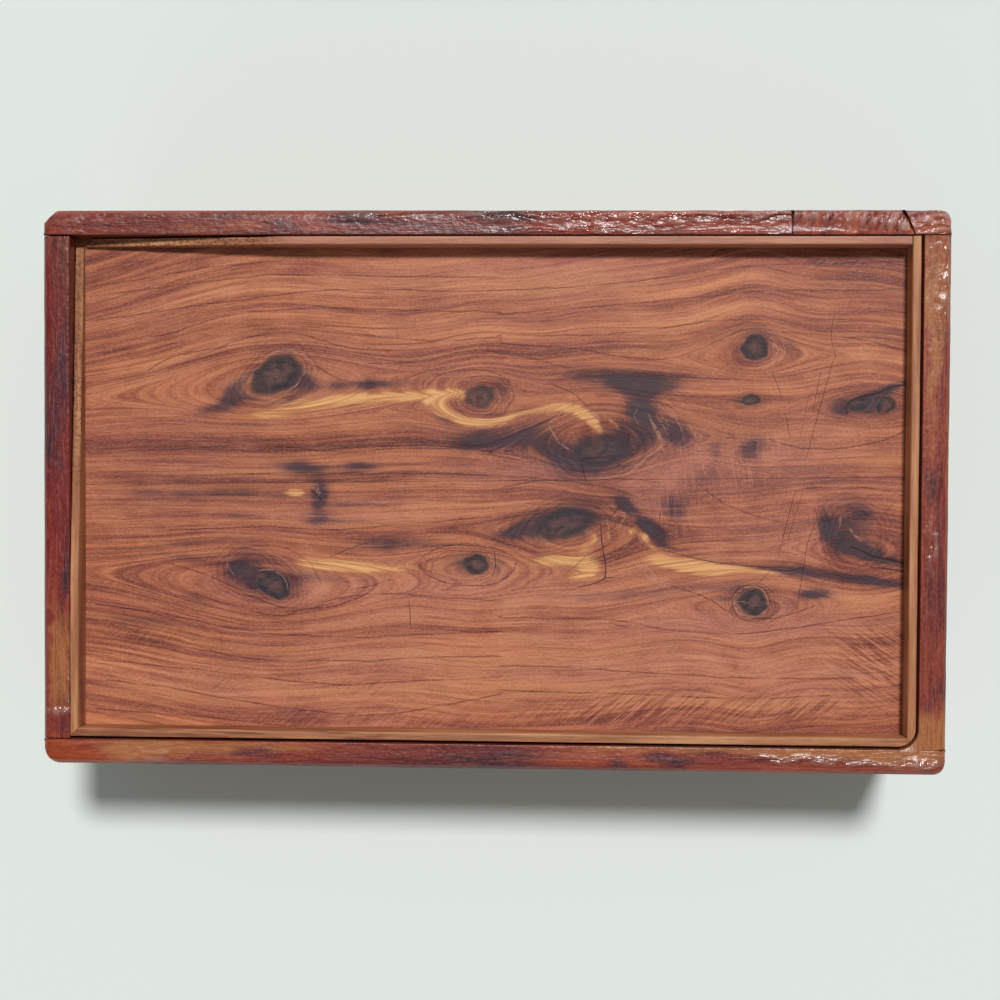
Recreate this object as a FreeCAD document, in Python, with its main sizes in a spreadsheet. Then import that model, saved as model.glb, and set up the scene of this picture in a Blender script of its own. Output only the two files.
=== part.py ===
"""Sliding-lid tool box of red cedar.

Four butt-jointed and dowelled walls carry a grooved-in floor and a lid of two
book-matched boards.  The lid runs in grooves below the rim and draws out over the
lowered left wall.  Its left end carries a rail that completes the rim, and four thin
strips stand round the edge of its face, cut down at the rear left corner for a fingertip.

Frame: +X along the box, +Y to the rear, +Z up; the origin is the centre of the base.
The lid opens towards -X.
"""

import FreeCAD, Part
import math
import os

import Sketcher

# Driving dimensions in millimetres; dowel_count and pins_per_board are numbers of pieces.
SIZES = {
    "box_length": 305.0,
    "box_width": 188.5,
    "box_height": 76.0,
    "end_wall_thickness": 9.5,
    "long_wall_thickness": 8.75,
    "groove_depth": 4.0,
    "rear_left_facet": 4.5,
    "rear_right_radius": 4.0,
    "front_left_radius": 6.0,
    "front_right_radius": 4.5,
    "rim_rounding": 1.5,
    "foot_rounding": 1.0,
    "floor_thickness": 6.0,
    "floor_height": 4.0,
    "floor_clearance": 0.1,
    "lid_thickness": 6.0,
    "lid_recess": 8.0,
    "lid_clearance": 0.25,
    "lid_side_play": 0.5,
    "rail_play": 0.3,
    "seam_left": 0.9,
    "seam_right": 5.4,
    "strip_thickness": 3.0,
    "strip_drop": 0.2,
    "rear_strip_gap": 0.3,
    "front_strip_gap": 0.95,
    "right_strip_gap": 0.8,
    "corner_hole": 3.5,
    "corner_hole_slant": 1.5,
    "relief_floor": 1.5,
    "rear_relief_length": 68.0,
    "left_relief_length": 115.0,
    "patch_offset": 16.3,
    "patch_length": 36.5,
    "patch_slant": 4.0,
    "patch_depth": 3.0,
    "peg_diameter": 3.0,
    "peg_bite": 2.0,
    "peg_inset": 6.0,
    "dowel_diameter": 5.0,
    "dowel_bite": 18.0,
    "dowel_cover": 4.0,
    "dowel_count": 3,
    "pin_diameter": 4.0,
    "pin_bite": 5.0,
    "pin_cover": 16.0,
    "pins_per_board": 2,
    "hole_clearance": 0.05,
    "blind_hole_spare": 1.0,
}

DIAGONAL = math.sqrt(0.5)
STRIP_ROUNDNESS = 2.0  # radius of the strips' rounded mitre, in strip thicknesses
FILL_ROUNDNESS = 1.25  # radius of the hollow in the corner fill, in lengths of its legs
NEAR = 1e-4

doc = FreeCAD.newDocument("ToolBox")
sheet = doc.addObject("Spreadsheet::Sheet", "Sizes")


class Size:
    """A length that is known both as a FreeCAD expression and as the number it has now."""

    def __init__(self, text, value):
        self.text = text
        self.value = value

    def __add__(self, other):
        other = size(other)
        return Size(f"({self.text} + {other.text})", self.value + other.value)

    def __sub__(self, other):
        other = size(other)
        return Size(f"({self.text} - {other.text})", self.value - other.value)

    def __mul__(self, factor):
        return Size(f"({self.text} * {factor})", self.value * factor)

    def __truediv__(self, divisor):
        return Size(f"({self.text} / {divisor})", self.value / divisor)

    def __neg__(self):
        return Size(f"(-{self.text})", -self.value)


def size(value):
    """A plain number as a Size; a Size as it is."""
    return value if isinstance(value, Size) else Size(f"({value})", float(value))


def cell(alias):
    """The Size held by one cell of the sheet."""
    return Size(f"Sizes.{alias}", float(SIZES[alias]))


def fill_sheet():
    """Writes every driving dimension into the sheet, one row each."""
    for row, (alias, value) in enumerate(SIZES.items(), start=1):
        sheet.set(f"A{row}", alias.replace("_", " "))
        sheet.set(f"B{row}", str(value))
        sheet.setAlias(f"B{row}", alias)
    doc.recompute()


ZERO = size(0)

# ---- sizes that follow from the driving ones ----

LENGTH = cell("box_length")
WIDTH = cell("box_width")
HEIGHT = cell("box_height")
END_WALL = cell("end_wall_thickness")
LONG_WALL = cell("long_wall_thickness")
GROOVE = cell("groove_depth")
RECESS = cell("lid_recess")
LID = cell("lid_thickness")
STRIP = cell("strip_thickness")

LEFT_END = -(LENGTH / 2)
RIGHT_END = LENGTH / 2
INNER_X = LENGTH / 2 - END_WALL  # from the centre to an end wall's inner face
INNER_Y = WIDTH / 2 - LONG_WALL  # from the centre to a long wall's inner face

LID_TOP = HEIGHT - RECESS
LID_UNDERSIDE = LID_TOP - LID
LID_GROOVE_TOP = LID_TOP + cell("lid_clearance")
LID_GROOVE_FLOOR = LID_UNDERSIDE - cell("lid_clearance")
LID_RIGHT = INNER_X + GROOVE - cell("lid_side_play")
LID_SIDE = INNER_Y + GROOVE - cell("lid_side_play")

FLOOR_UNDERSIDE = cell("floor_height")
FLOOR_TOP = FLOOR_UNDERSIDE + cell("floor_thickness")
FLOOR_GROOVE_FLOOR = FLOOR_UNDERSIDE - cell("floor_clearance")
FLOOR_GROOVE_TOP = FLOOR_TOP + cell("floor_clearance")
FLOOR_END = INNER_X + GROOVE - cell("floor_clearance")
FLOOR_SIDE = INNER_Y + GROOVE - cell("floor_clearance")

STRIP_TOP = RECESS - cell("strip_drop")
RING_LEFT = -INNER_X
RING_RIGHT = INNER_X - cell("right_strip_gap")
RING_REAR = INNER_Y - cell("rear_strip_gap")
RING_FRONT = -(INNER_Y - cell("front_strip_gap"))
RING_CORNER = STRIP * STRIP_ROUNDNESS
FILL_LEG = RING_CORNER

DOWEL_RADIUS = cell("dowel_diameter") / 2
DOWEL_LENGTH = LONG_WALL + cell("dowel_bite")
DOWEL_LOW = FLOOR_GROOVE_TOP + cell("dowel_cover") + DOWEL_RADIUS
DOWEL_HIGH = LID_GROOVE_FLOOR - cell("dowel_cover") - DOWEL_RADIUS
DOWEL_COUNT = int(SIZES["dowel_count"])
DOWEL_X = LENGTH / 2 - END_WALL / 2
PIN_RADIUS = cell("pin_diameter") / 2
PIN_COUNT = int(SIZES["pins_per_board"])
HOLE_SPARE = cell("blind_hole_spare")  # how much deeper a blind hole is than its pin
PATCH_RIGHT = RIGHT_END - cell("patch_offset")
PATCH_LEFT = PATCH_RIGHT - cell("patch_length")
PEG_RADIUS = cell("peg_diameter") / 2
PEG_X = PATCH_RIGHT + cell("patch_slant") / 8


def spread(first, last, count):
    """Evenly spaced Sizes from first to last."""
    step = (last - first) / max(count - 1, 1)
    return [first + step * k for k in range(count)]


DOWEL_HEIGHTS = spread(DOWEL_LOW, DOWEL_HIGH, DOWEL_COUNT)
PIN_PLACES = spread(cell("pin_cover"), INNER_Y - cell("pin_cover"), PIN_COUNT)


# ---- modelling tools ----


def plane_of(body, role):
    """One of a body's own origin planes, such as XY_Plane."""
    return next(f for f in body.Origin.OriginFeatures if f.Role == role)


def new_body(label, x=ZERO, y=ZERO, z=ZERO):
    """An empty body whose place is bound to the sheet."""
    body = doc.addObject("PartDesign::Body", label)
    body.Label = label
    for axis, place in zip("xyz", (x, y, z)):
        body.setExpression(f"Placement.Base.{axis}", place.text)
    return body


def new_sketch(body, name, role, start):
    """A sketch on one of the body's origin planes, moved by start along the plane's normal."""
    sketch = body.newObject("Sketcher::SketchObject", name)
    sketch.AttachmentSupport = [(plane_of(body, role), "")]
    sketch.MapMode = "FlatFace"
    if start is not ZERO:
        sketch.AttachmentOffset = FreeCAD.Placement(
            FreeCAD.Vector(0, 0, start.value), FreeCAD.Rotation()
        )
        sketch.setExpression("AttachmentOffset.Base.z", start.text)
    return sketch


def bind(sketch, constraint, name, text):
    """Adds a constraint and binds its value to an expression."""
    index = sketch.addConstraint(constraint)
    sketch.renameConstraint(index, name)
    sketch.setExpression(f"Constraints.{name}", text)


def arc_between(start, end, radius, bulges_out):
    """The circle arc from start to end of a counter-clockwise outline."""
    chord = end - start
    middle = (start + end) * 0.5
    left = FreeCAD.Vector(-chord.y, chord.x, 0).normalize()
    away = math.sqrt(max(radius**2 - (chord.Length / 2) ** 2, 0.0))
    centre = middle + left * (away if bulges_out else -away)
    first, last = (start, end) if bulges_out else (end, start)
    angles = [math.atan2(p.y - centre.y, p.x - centre.x) for p in (first, last)]
    circle = Part.Circle(centre, FreeCAD.Vector(0, 0, 1), radius)
    return Part.ArcOfCircle(circle, *angles)


def draw_outline(sketch, corners, arcs=()):
    """Draws a closed counter-clockwise outline through corners, pairs of Sizes.

    arcs maps the number of an edge, counted from the corner that it starts at, to
    (radius, bulges_out); every other edge is straight.
    """
    arcs = dict(arcs)
    points = [FreeCAD.Vector(x.value, y.value, 0) for x, y in corners]
    count = len(points)
    ends = []  # for each edge, its geometry and the numbers of its first and last ends
    for k in range(count):
        start, end = points[k], points[(k + 1) % count]
        if k in arcs:
            radius, bulges_out = arcs[k]
            edge = sketch.addGeometry(arc_between(start, end, radius.value, bulges_out))
            ends.append((edge, 1, 2) if bulges_out else (edge, 2, 1))
        else:
            ends.append((sketch.addGeometry(Part.LineSegment(start, end)), 1, 2))
    for k in range(count):
        edge, first, last = ends[k]
        following, following_first, _ = ends[(k + 1) % count]
        sketch.addConstraint(
            Sketcher.Constraint("Coincident", edge, last, following, following_first)
        )
        for word, place, name in zip(("DistanceX", "DistanceY"), corners[k], "xy"):
            held = Sketcher.Constraint(word, -1, 1, edge, first, place.value)
            bind(sketch, held, f"{name}{k}", place.text)
        if k in arcs:
            held = Sketcher.Constraint("Radius", edge, arcs[k][0].value)
            bind(sketch, held, f"radius{k}", arcs[k][0].text)


def draw_circles(sketch, centres, radius):
    """Draws one circle of the given radius round each centre."""
    for k, (x, y) in enumerate(centres):
        centre = FreeCAD.Vector(x.value, y.value, 0)
        up = FreeCAD.Vector(0, 0, 1)
        edge = sketch.addGeometry(Part.Circle(centre, up, radius.value))
        for word, place, name in zip(("DistanceX", "DistanceY"), (x, y), "xy"):
            held = Sketcher.Constraint(word, -1, 1, edge, 3, place.value)
            bind(sketch, held, f"{name}{k}", place.text)
        held = Sketcher.Constraint("Radius", edge, radius.value)
        bind(sketch, held, f"radius{k}", radius.text)


def pad_outline(body, name, corners, height, arcs=(), start=ZERO):
    """Pads a plan outline upwards from the height start."""
    sketch = new_sketch(body, f"{name}_plan", "XY_Plane", start)
    draw_outline(sketch, corners, arcs)
    pad = body.newObject("PartDesign::Pad", name)
    pad.Profile = sketch
    pad.setExpression("Length", height.text)
    doc.recompute()
    return pad


def pocket(body, name, sketch, length):
    """Cuts a sketch's shape out of the body, along the sketch's normal; it has to cut something."""
    before = body.Shape.Volume
    cut = body.newObject("PartDesign::Pocket", name)
    cut.Profile = sketch
    cut.Type = "Length"
    cut.setExpression("Length", length.text)
    cut.Reversed = True
    doc.recompute()
    if not body.Shape.Volume < before - NEAR:
        raise RuntimeError(f"{body.Label}: {name} cuts nothing")
    return cut


def cut_outline(body, name, role, corners, start, length):
    """Cuts a straight-edged outline out of the body, from start along the plane's normal."""
    sketch = new_sketch(body, f"{name}_outline", role, start)
    draw_outline(sketch, corners)
    return pocket(body, name, sketch, length)


def cut_holes(body, name, role, centres, radius, start, length):
    """Drills round holes, from start along the plane's normal, a little wider than what they hold."""
    sketch = new_sketch(body, f"{name}_circles", role, start)
    draw_circles(sketch, centres, radius + cell("hole_clearance"))
    return pocket(body, name, sketch, length)


def box_corners(low_x, low_y, high_x, high_y):
    """The corners of an upright rectangle, counter-clockwise."""
    return [(low_x, low_y), (high_x, low_y), (high_x, high_y), (low_x, high_y)]


def round_edges(body, name, radius, wanted):
    """Fillets the edges for which wanted(edge) holds."""
    base = body.Tip
    edges = [f"Edge{k}" for k, e in enumerate(base.Shape.Edges, start=1) if wanted(e)]
    if not edges:
        raise RuntimeError(f"{body.Label}: {name} finds no edge")
    fillet = body.newObject("PartDesign::Fillet", name)
    fillet.Base = (base, edges)
    fillet.setExpression("Radius", radius.text)
    doc.recompute()
    return fillet


def lies_at(edge, axis, place):
    """True if the whole edge lies at one place along an axis, in the body's own frame."""
    box = edge.BoundBox
    low, high = getattr(box, f"{axis}Min"), getattr(box, f"{axis}Max")
    return abs(low - place) < NEAR and abs(high - place) < NEAR


# ---- the walls ----


def long_wall(label, side, outline, arcs):
    """A long wall with its floor and lid grooves and dowel holes.

    side is 1 at the rear and -1 at the front; outline is its plan about its own centre.
    """
    half = LONG_WALL / 2
    body = new_body(label, y=(WIDTH / 2 - half) * side)
    pad_outline(body, "board", outline, HEIGHT, arcs)
    inner = half * -side
    groove_bottom = inner + GROOVE * side
    low, high = (inner, groove_bottom) if side > 0 else (groove_bottom, inner)
    groove_end = INNER_X + GROOVE
    cut_outline(
        body,
        "floor_groove",
        "YZ_Plane",
        box_corners(low, FLOOR_GROOVE_FLOOR, high, FLOOR_GROOVE_TOP),
        -groove_end,
        groove_end * 2,
    )
    cut_outline(
        body,
        "lid_groove",
        "YZ_Plane",
        box_corners(low, LID_GROOVE_FLOOR, high, LID_GROOVE_TOP),
        LEFT_END,
        LENGTH / 2 + groove_end,
    )
    centres = [(x, z) for x in (-DOWEL_X, DOWEL_X) for z in DOWEL_HEIGHTS]
    cut_holes(body, "dowel_holes", "XZ_Plane", centres, DOWEL_RADIUS, -half, LONG_WALL)
    inner_face = inner.value
    round_edges(
        body,
        "rim_rounding",
        cell("rim_rounding"),
        lambda e: lies_at(e, "Z", HEIGHT.value) and not lies_at(e, "Y", inner_face),
    )
    round_edges(
        body,
        "foot_rounding",
        cell("foot_rounding"),
        lambda e: lies_at(e, "Z", 0.0) and not lies_at(e, "Y", inner_face),
    )
    return body


def rear_plan(depth):
    """Plan of the rear wall about its own centre, reaching depth inwards from its outer face."""
    outer = LONG_WALL / 2
    inner = outer - depth
    facet, radius = cell("rear_left_facet"), cell("rear_right_radius")
    corners = [
        (LEFT_END, inner),
        (RIGHT_END, inner),
        (RIGHT_END, outer - radius),
        (RIGHT_END - radius, outer),
        (LEFT_END + facet, outer),
        (LEFT_END, outer - facet),
    ]
    return corners, {2: (radius, True)}


def front_plan(depth):
    """Plan of the front wall about its own centre, reaching depth inwards from its outer face."""
    outer = -(LONG_WALL / 2)
    inner = outer + depth
    left, right = cell("front_left_radius"), cell("front_right_radius")
    corners = [
        (LEFT_END + left, outer),
        (RIGHT_END - right, outer),
        (RIGHT_END, outer + right),
        (RIGHT_END, inner),
        (LEFT_END, inner),
        (LEFT_END, outer + left),
    ]
    return corners, {1: (right, True), 5: (left, True)}


def build_rear_wall():
    """The rear wall, with a faceted left corner and the notch and hole of the rim patch."""
    half = LONG_WALL / 2
    body = long_wall("rear_wall", 1, *rear_plan(LONG_WALL))
    cut_outline(
        body,
        "patch_notch",
        "XY_Plane",
        patch_plan(-half, half),
        HEIGHT - cell("patch_depth"),
        cell("patch_depth"),
    )
    peg_place = [(PEG_X, half - cell("peg_inset"))]
    peg_foot = HEIGHT - cell("patch_depth") - cell("peg_bite")
    cut_holes(
        body, "peg_hole", "XY_Plane", peg_place, PEG_RADIUS, peg_foot, cell("peg_bite")
    )


def build_front_wall():
    """The front wall, with both outer corners rounded."""
    long_wall("front_wall", -1, *front_plan(LONG_WALL))


def end_wall(label, side, height):
    """An end wall between the long walls; side is 1 at the right and -1 at the left."""
    half = END_WALL / 2
    body = new_body(label, x=(LENGTH / 2 - half) * side)
    pad_outline(body, "board", box_corners(-half, -INNER_Y, half, INNER_Y), height)
    centres = [(ZERO, z) for z in DOWEL_HEIGHTS]
    depth = cell("dowel_bite") + HOLE_SPARE
    cut_holes(
        body, "rear_holes", "XZ_Plane", centres, DOWEL_RADIUS, -INNER_Y, depth
    )
    cut_holes(
        body, "front_holes", "XZ_Plane", centres, DOWEL_RADIUS, INNER_Y - depth, depth
    )
    return body


def end_groove(body, name, side, low, high):
    """A groove across the inner face of an end wall, from the height low to high."""
    inner = (END_WALL / 2) * -side
    bottom = inner + GROOVE * side
    left, right = (inner, bottom) if side > 0 else (bottom, inner)
    outline = box_corners(left, low, right, high)
    cut_outline(body, name, "XZ_Plane", outline, -INNER_Y, INNER_Y * 2)


def round_outer_edge(body, name, radius, side, height):
    """Rounds the outer edge of an end wall at one height."""
    outer = (END_WALL / 2).value * side
    round_edges(
        body,
        name,
        radius,
        lambda e: lies_at(e, "Z", height) and lies_at(e, "X", outer),
    )


def build_left_wall():
    """The lowered wall that the lid draws out over."""
    body = end_wall("left_end_wall", -1, LID_GROOVE_FLOOR)
    end_groove(body, "floor_groove", -1, FLOOR_GROOVE_FLOOR, FLOOR_GROOVE_TOP)
    round_outer_edge(body, "foot_rounding", cell("foot_rounding"), -1, 0.0)


def build_right_wall():
    """The full-height wall that the lid closes into, with the hollowed fill in its front corner."""
    body = end_wall("right_end_wall", 1, HEIGHT)
    end_groove(body, "floor_groove", 1, FLOOR_GROOVE_FLOOR, FLOOR_GROOVE_TOP)
    end_groove(body, "lid_groove", 1, LID_GROOVE_FLOOR, LID_GROOVE_TOP)
    round_outer_edge(body, "rim_rounding", cell("rim_rounding"), 1, HEIGHT.value)
    round_outer_edge(body, "foot_rounding", cell("foot_rounding"), 1, 0.0)
    inner = -(END_WALL / 2)
    corners = [
        (inner - FILL_LEG, -INNER_Y),
        (inner, -INNER_Y),
        (inner, FILL_LEG - INNER_Y),
    ]
    hollow = {2: (FILL_LEG * FILL_ROUNDNESS, False)}
    fill_height = HEIGHT - LID_GROOVE_TOP
    pad_outline(body, "corner_fill", corners, fill_height, hollow, LID_GROOVE_TOP)


def patch_plan(inner, outer):
    """Plan of the rim patch between the wall's inner and outer face; its right end is slanted."""
    slanted = PATCH_RIGHT + cell("patch_slant")
    return [
        (PATCH_LEFT, inner),
        (slanted, inner),
        (PATCH_RIGHT, outer),
        (PATCH_LEFT, outer),
    ]


def build_rim_patch():
    """A let-in piece of cross-grained rim, drilled for its peg."""
    half = LONG_WALL / 2
    depth = cell("patch_depth")
    body = new_body("rim_patch", y=WIDTH / 2 - half, z=HEIGHT - depth)
    pad_outline(body, "block", patch_plan(-half, half), depth)
    outer = half.value
    round_edges(
        body,
        "rim_rounding",
        cell("rim_rounding"),
        lambda e: lies_at(e, "Z", depth.value) and lies_at(e, "Y", outer),
    )
    peg_place = [(PEG_X, half - cell("peg_inset"))]
    cut_holes(body, "peg_hole", "XY_Plane", peg_place, PEG_RADIUS, ZERO, depth)


# ---- floor and lid ----


def build_floor_boards():
    """Two boards, edge to edge, in the floor grooves of all four walls."""
    for label, low, high in (
        ("floor_board_rear", ZERO, FLOOR_SIDE),
        ("floor_board_front", -FLOOR_SIDE, ZERO),
    ):
        body = new_body(label, z=FLOOR_UNDERSIDE)
        outline = box_corners(-FLOOR_END, low, FLOOR_END, high)
        pad_outline(body, "board", outline, cell("floor_thickness"))


def build_lid_boards():
    """Two book-matched boards; their outer edges run in the long walls' grooves.

    The seam between them isn't parallel to the box: it rises from seam_left to seam_right.
    """
    seam = [(LID_RIGHT, cell("seam_right")), (LEFT_END, cell("seam_left"))]
    rear_edge = [(LID_RIGHT, LID_SIDE), (LEFT_END, LID_SIDE)]
    front_edge = [(LEFT_END, -LID_SIDE), (LID_RIGHT, -LID_SIDE)]
    for label, side, corners in (
        ("lid_board_rear", 1, seam[::-1] + rear_edge),
        ("lid_board_front", -1, front_edge + seam),
    ):
        body = new_body(label, z=LID_UNDERSIDE)
        pad_outline(body, "board", corners, LID)
        centres = [(-DOWEL_X, y * side) for y in PIN_PLACES]
        cut_holes(body, "pin_holes", "XY_Plane", centres, PIN_RADIUS, ZERO, LID)


def build_lid_rail():
    """The piece of rim at the lid's left end, pinned to the boards from below."""
    half = END_WALL / 2
    reach = INNER_Y - cell("rail_play")
    body = new_body("lid_end_rail", x=LEFT_END + half, z=LID_TOP)
    pad_outline(body, "bar", box_corners(-half, -reach, half, reach), RECESS)
    centres = [(ZERO, y * side) for side in (-1, 1) for y in PIN_PLACES]
    depth = cell("pin_bite") + HOLE_SPARE
    cut_holes(body, "pin_holes", "XY_Plane", centres, PIN_RADIUS, ZERO, depth)
    round_outer_edge(body, "rim_rounding", cell("rim_rounding"), -1, RECESS.value)


def strip_body(label, corners, arcs=()):
    """A thin strip that stands on the lid's face."""
    body = new_body(label, z=LID_TOP)
    pad_outline(body, "strip", corners, STRIP_TOP, arcs)
    return body


def build_strips():
    """The four strips round the lid's face.

    The front ones are mitred.  At the front right the mitre is rounded off.  At the
    rear the right strip runs through and the rear one stops short of the rail.
    """
    inner_left, inner_right = RING_LEFT + STRIP, RING_RIGHT - STRIP
    inner_rear, inner_front = RING_REAR - STRIP, RING_FRONT + STRIP
    round_x, round_y = RING_RIGHT - RING_CORNER, RING_FRONT + RING_CORNER
    mitre = (round_x + RING_CORNER * DIAGONAL, round_y - RING_CORNER * DIAGONAL)
    inner_mitre = (inner_right, inner_front)
    rear_start = RING_LEFT + cell("corner_hole")

    strip_body(
        "lid_strip_front",
        [
            (RING_LEFT, RING_FRONT),
            (round_x, RING_FRONT),
            mitre,
            inner_mitre,
            (inner_left, inner_front),
        ],
        {1: (RING_CORNER, True)},
    )
    strip_body(
        "lid_strip_right",
        [
            inner_mitre,
            mitre,
            (RING_RIGHT, round_y),
            (RING_RIGHT, RING_REAR),
            (inner_right, RING_REAR),
        ],
        {1: (RING_CORNER, True)},
    )
    rear = strip_body(
        "lid_strip_rear",
        [
            (rear_start, inner_rear),
            (inner_right, inner_rear),
            (inner_right, RING_REAR),
            (rear_start + cell("corner_hole_slant"), RING_REAR),
        ],
    )
    left = strip_body(
        "lid_strip_left",
        [
            (RING_LEFT, RING_FRONT),
            (inner_left, inner_front),
            (inner_left, inner_rear),
            (RING_LEFT, inner_rear),
        ],
    )
    # The finger relief: a long ramp cut off the top of each strip towards the corner.
    low = cell("relief_floor")
    rear_slope = [
        (rear_start, low),
        (rear_start + cell("rear_relief_length"), STRIP_TOP),
        (rear_start, STRIP_TOP),
    ]
    cut_outline(rear, "relief", "XZ_Plane", rear_slope, -RING_REAR, STRIP)
    left_slope = [
        (inner_rear, low),
        (inner_rear, STRIP_TOP),
        (inner_rear - cell("left_relief_length"), STRIP_TOP),
    ]
    cut_outline(left, "relief", "YZ_Plane", left_slope, RING_LEFT, STRIP)


# ---- dowels, pins and peg ----


def cylinder(name, radius, length, place, direction):
    """One round pin that starts at place and runs along direction."""
    pin = doc.addObject("Part::Cylinder", name)
    pin.Placement = FreeCAD.Placement(
        FreeCAD.Vector(), FreeCAD.Rotation(FreeCAD.Vector(0, 0, 1), direction)
    )
    pin.setExpression("Radius", radius.text)
    pin.setExpression("Height", length.text)
    for axis, part in zip("xyz", place):
        pin.setExpression(f"Placement.Base.{axis}", part.text)
    return pin


def pin_group(name, pins):
    """Several equal pins held together as one object."""
    group = doc.addObject("Part::Compound", name)
    group.Links = pins
    return group


def build_corner_dowels():
    """The dowels from a long wall into the end of an end wall, a group for each corner.

    Their heads are trimmed flush with the long wall's outside, round its corners too.
    """
    for wall, plan, side_y in (("rear", rear_plan, 1), ("front", front_plan, -1)):
        trim = new_body(f"{wall}_trim", y=(WIDTH / 2 - LONG_WALL / 2) * side_y)
        corners, arcs = plan(DOWEL_LENGTH)
        pad_outline(trim, "block", corners, HEIGHT, arcs)
        inward = FreeCAD.Vector(0, -side_y, 0)
        for end, side_x in (("left", -1), ("right", 1)):
            label = f"{wall}_{end}_dowels"
            pins = [
                cylinder(
                    f"{label}_{k + 1}",
                    DOWEL_RADIUS,
                    DOWEL_LENGTH,
                    (DOWEL_X * side_x, (WIDTH / 2) * side_y, height),
                    inward,
                )
                for k, height in enumerate(DOWEL_HEIGHTS)
            ]
            flush = doc.addObject("Part::Common", f"{label}_flush")
            flush.Label = label
            flush.Base = pin_group(f"{label}_rough", pins)
            flush.Tool = trim


def build_rail_pins():
    """The pins that hold the end rail on the lid boards."""
    up = FreeCAD.Vector(0, 0, 1)
    places = [y * side for side in (-1, 1) for y in PIN_PLACES]
    pins = [
        cylinder(
            f"rail_pin_{k + 1}",
            PIN_RADIUS,
            LID + cell("pin_bite"),
            (-DOWEL_X, y, LID_UNDERSIDE),
            up,
        )
        for k, y in enumerate(places)
    ]
    pin_group("rail_pins", pins).Label = "rail_pins"


def build_patch_peg():
    """The peg that holds the rim patch down."""
    depth = cell("patch_depth") + cell("peg_bite")
    peg = cylinder(
        "patch_peg",
        PEG_RADIUS,
        depth,
        (PEG_X, WIDTH / 2 - cell("peg_inset"), HEIGHT - depth),
        FreeCAD.Vector(0, 0, 1),
    )
    peg.Label = "patch_peg"


NODES = [
    "rear_wall",
    "front_wall",
    "left_end_wall",
    "right_end_wall",
    "rim_patch",
    "patch_peg",
    "floor_board_rear",
    "floor_board_front",
    "rear_left_dowels",
    "rear_right_dowels",
    "front_left_dowels",
    "front_right_dowels",
    "lid_board_rear",
    "lid_board_front",
    "lid_end_rail",
    "rail_pins",
    "lid_strip_rear",
    "lid_strip_front",
    "lid_strip_left",
    "lid_strip_right",
]


def export_nodes():
    """Checks every object of the document, then writes one STEP file for each node."""
    doc.recompute()
    failed = [o.Name for o in doc.Objects if {"Invalid", "Error"} & set(o.State)]
    if failed:
        raise RuntimeError(f"these objects failed: {failed}")
    parts = {label: doc.getObjectsByLabel(label)[0] for label in NODES}
    for label, part in parts.items():
        if part.Shape.isNull() or not part.Shape.isValid():
            raise RuntimeError(f"{label} has no valid shape")
    os.makedirs("parts", exist_ok=True)
    for label, part in parts.items():
        part.Shape.exportStep(f"parts/{label}.step")
        print(f"{label}: {len(part.Shape.Solids)} solid(s), {part.Shape.Volume:.1f} mm3")


fill_sheet()
build_rear_wall()
build_front_wall()
build_left_wall()
build_right_wall()
build_rim_patch()
build_floor_boards()
build_lid_boards()
build_lid_rail()
build_strips()
build_corner_dowels()
build_rail_pins()
build_patch_peg()
export_nodes()
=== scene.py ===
"""Finish of a sliding-lid tool box of red cedar.

Worn and thickly varnished walls, a knotty book-matched lid with a satin finish, thin pale
strips round its face, bare wood inside and dowel heads in the corners.

Frame: +X along the box, +Y to the rear, +Z up; the origin is the centre of the base.
Lengths are in millimetres until a mesh is made, and in metres from there on.
"""

import bmesh
import bpy
import math
import numpy as np
from mathutils import Euler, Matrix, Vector


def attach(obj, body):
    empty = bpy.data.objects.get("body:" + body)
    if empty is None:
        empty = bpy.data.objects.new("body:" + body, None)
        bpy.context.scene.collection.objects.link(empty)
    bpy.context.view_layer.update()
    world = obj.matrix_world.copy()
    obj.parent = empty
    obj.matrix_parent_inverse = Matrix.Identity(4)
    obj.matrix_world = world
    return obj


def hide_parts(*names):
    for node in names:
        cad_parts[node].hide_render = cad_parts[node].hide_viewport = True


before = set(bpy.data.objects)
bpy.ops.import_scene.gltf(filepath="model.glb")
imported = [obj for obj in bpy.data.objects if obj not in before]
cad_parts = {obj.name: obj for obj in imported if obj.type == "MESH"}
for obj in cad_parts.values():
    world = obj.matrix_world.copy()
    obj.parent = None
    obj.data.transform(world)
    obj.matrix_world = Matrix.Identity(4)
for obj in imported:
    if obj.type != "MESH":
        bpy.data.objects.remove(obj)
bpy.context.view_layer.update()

MM = 0.001

# ---- sizes in millimetres ----

HALF_LENGTH, HALF_WIDTH, HEIGHT = 152.5, 94.25, 76.0
END_WALL, LONG_WALL = 9.5, 8.75
INNER_X, INNER_Y = HALF_LENGTH - END_WALL, HALF_WIDTH - LONG_WALL
GROOVE = 4.0
GROOVE_END = INNER_X + GROOVE
LID_GROOVE, FLOOR_GROOVE = (61.75, 68.25), (3.9, 10.1)
RIM_ROUND, FOOT_ROUND, ARRIS, RAIL_ARRIS = 1.5, 1.0, 0.35, 0.7
REAR_LEFT_FACET, REAR_RIGHT_ROUND, FRONT_LEFT_ROUND, FRONT_RIGHT_ROUND = 4.5, 4.0, 6.0, 4.5
CROWN, CROWN_FALL = 4.2, 0.85  # width and depth of the worn outer edge of the rim

LID_LOW, LID_TOP, LID_RIGHT, LID_SIDE = 62.0, 68.0, 146.5, 89.0
SEAM_LEFT, SEAM_RIGHT = 0.9, 5.4
FLOOR_LOW, FLOOR_TOP, FLOOR_END, FLOOR_SIDE, FLOOR_SEAM = 4.0, 10.0, 146.9, 89.4, 0.05
BOARD_ARRIS, SEAM_ARRIS = 0.3, 0.08

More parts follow.
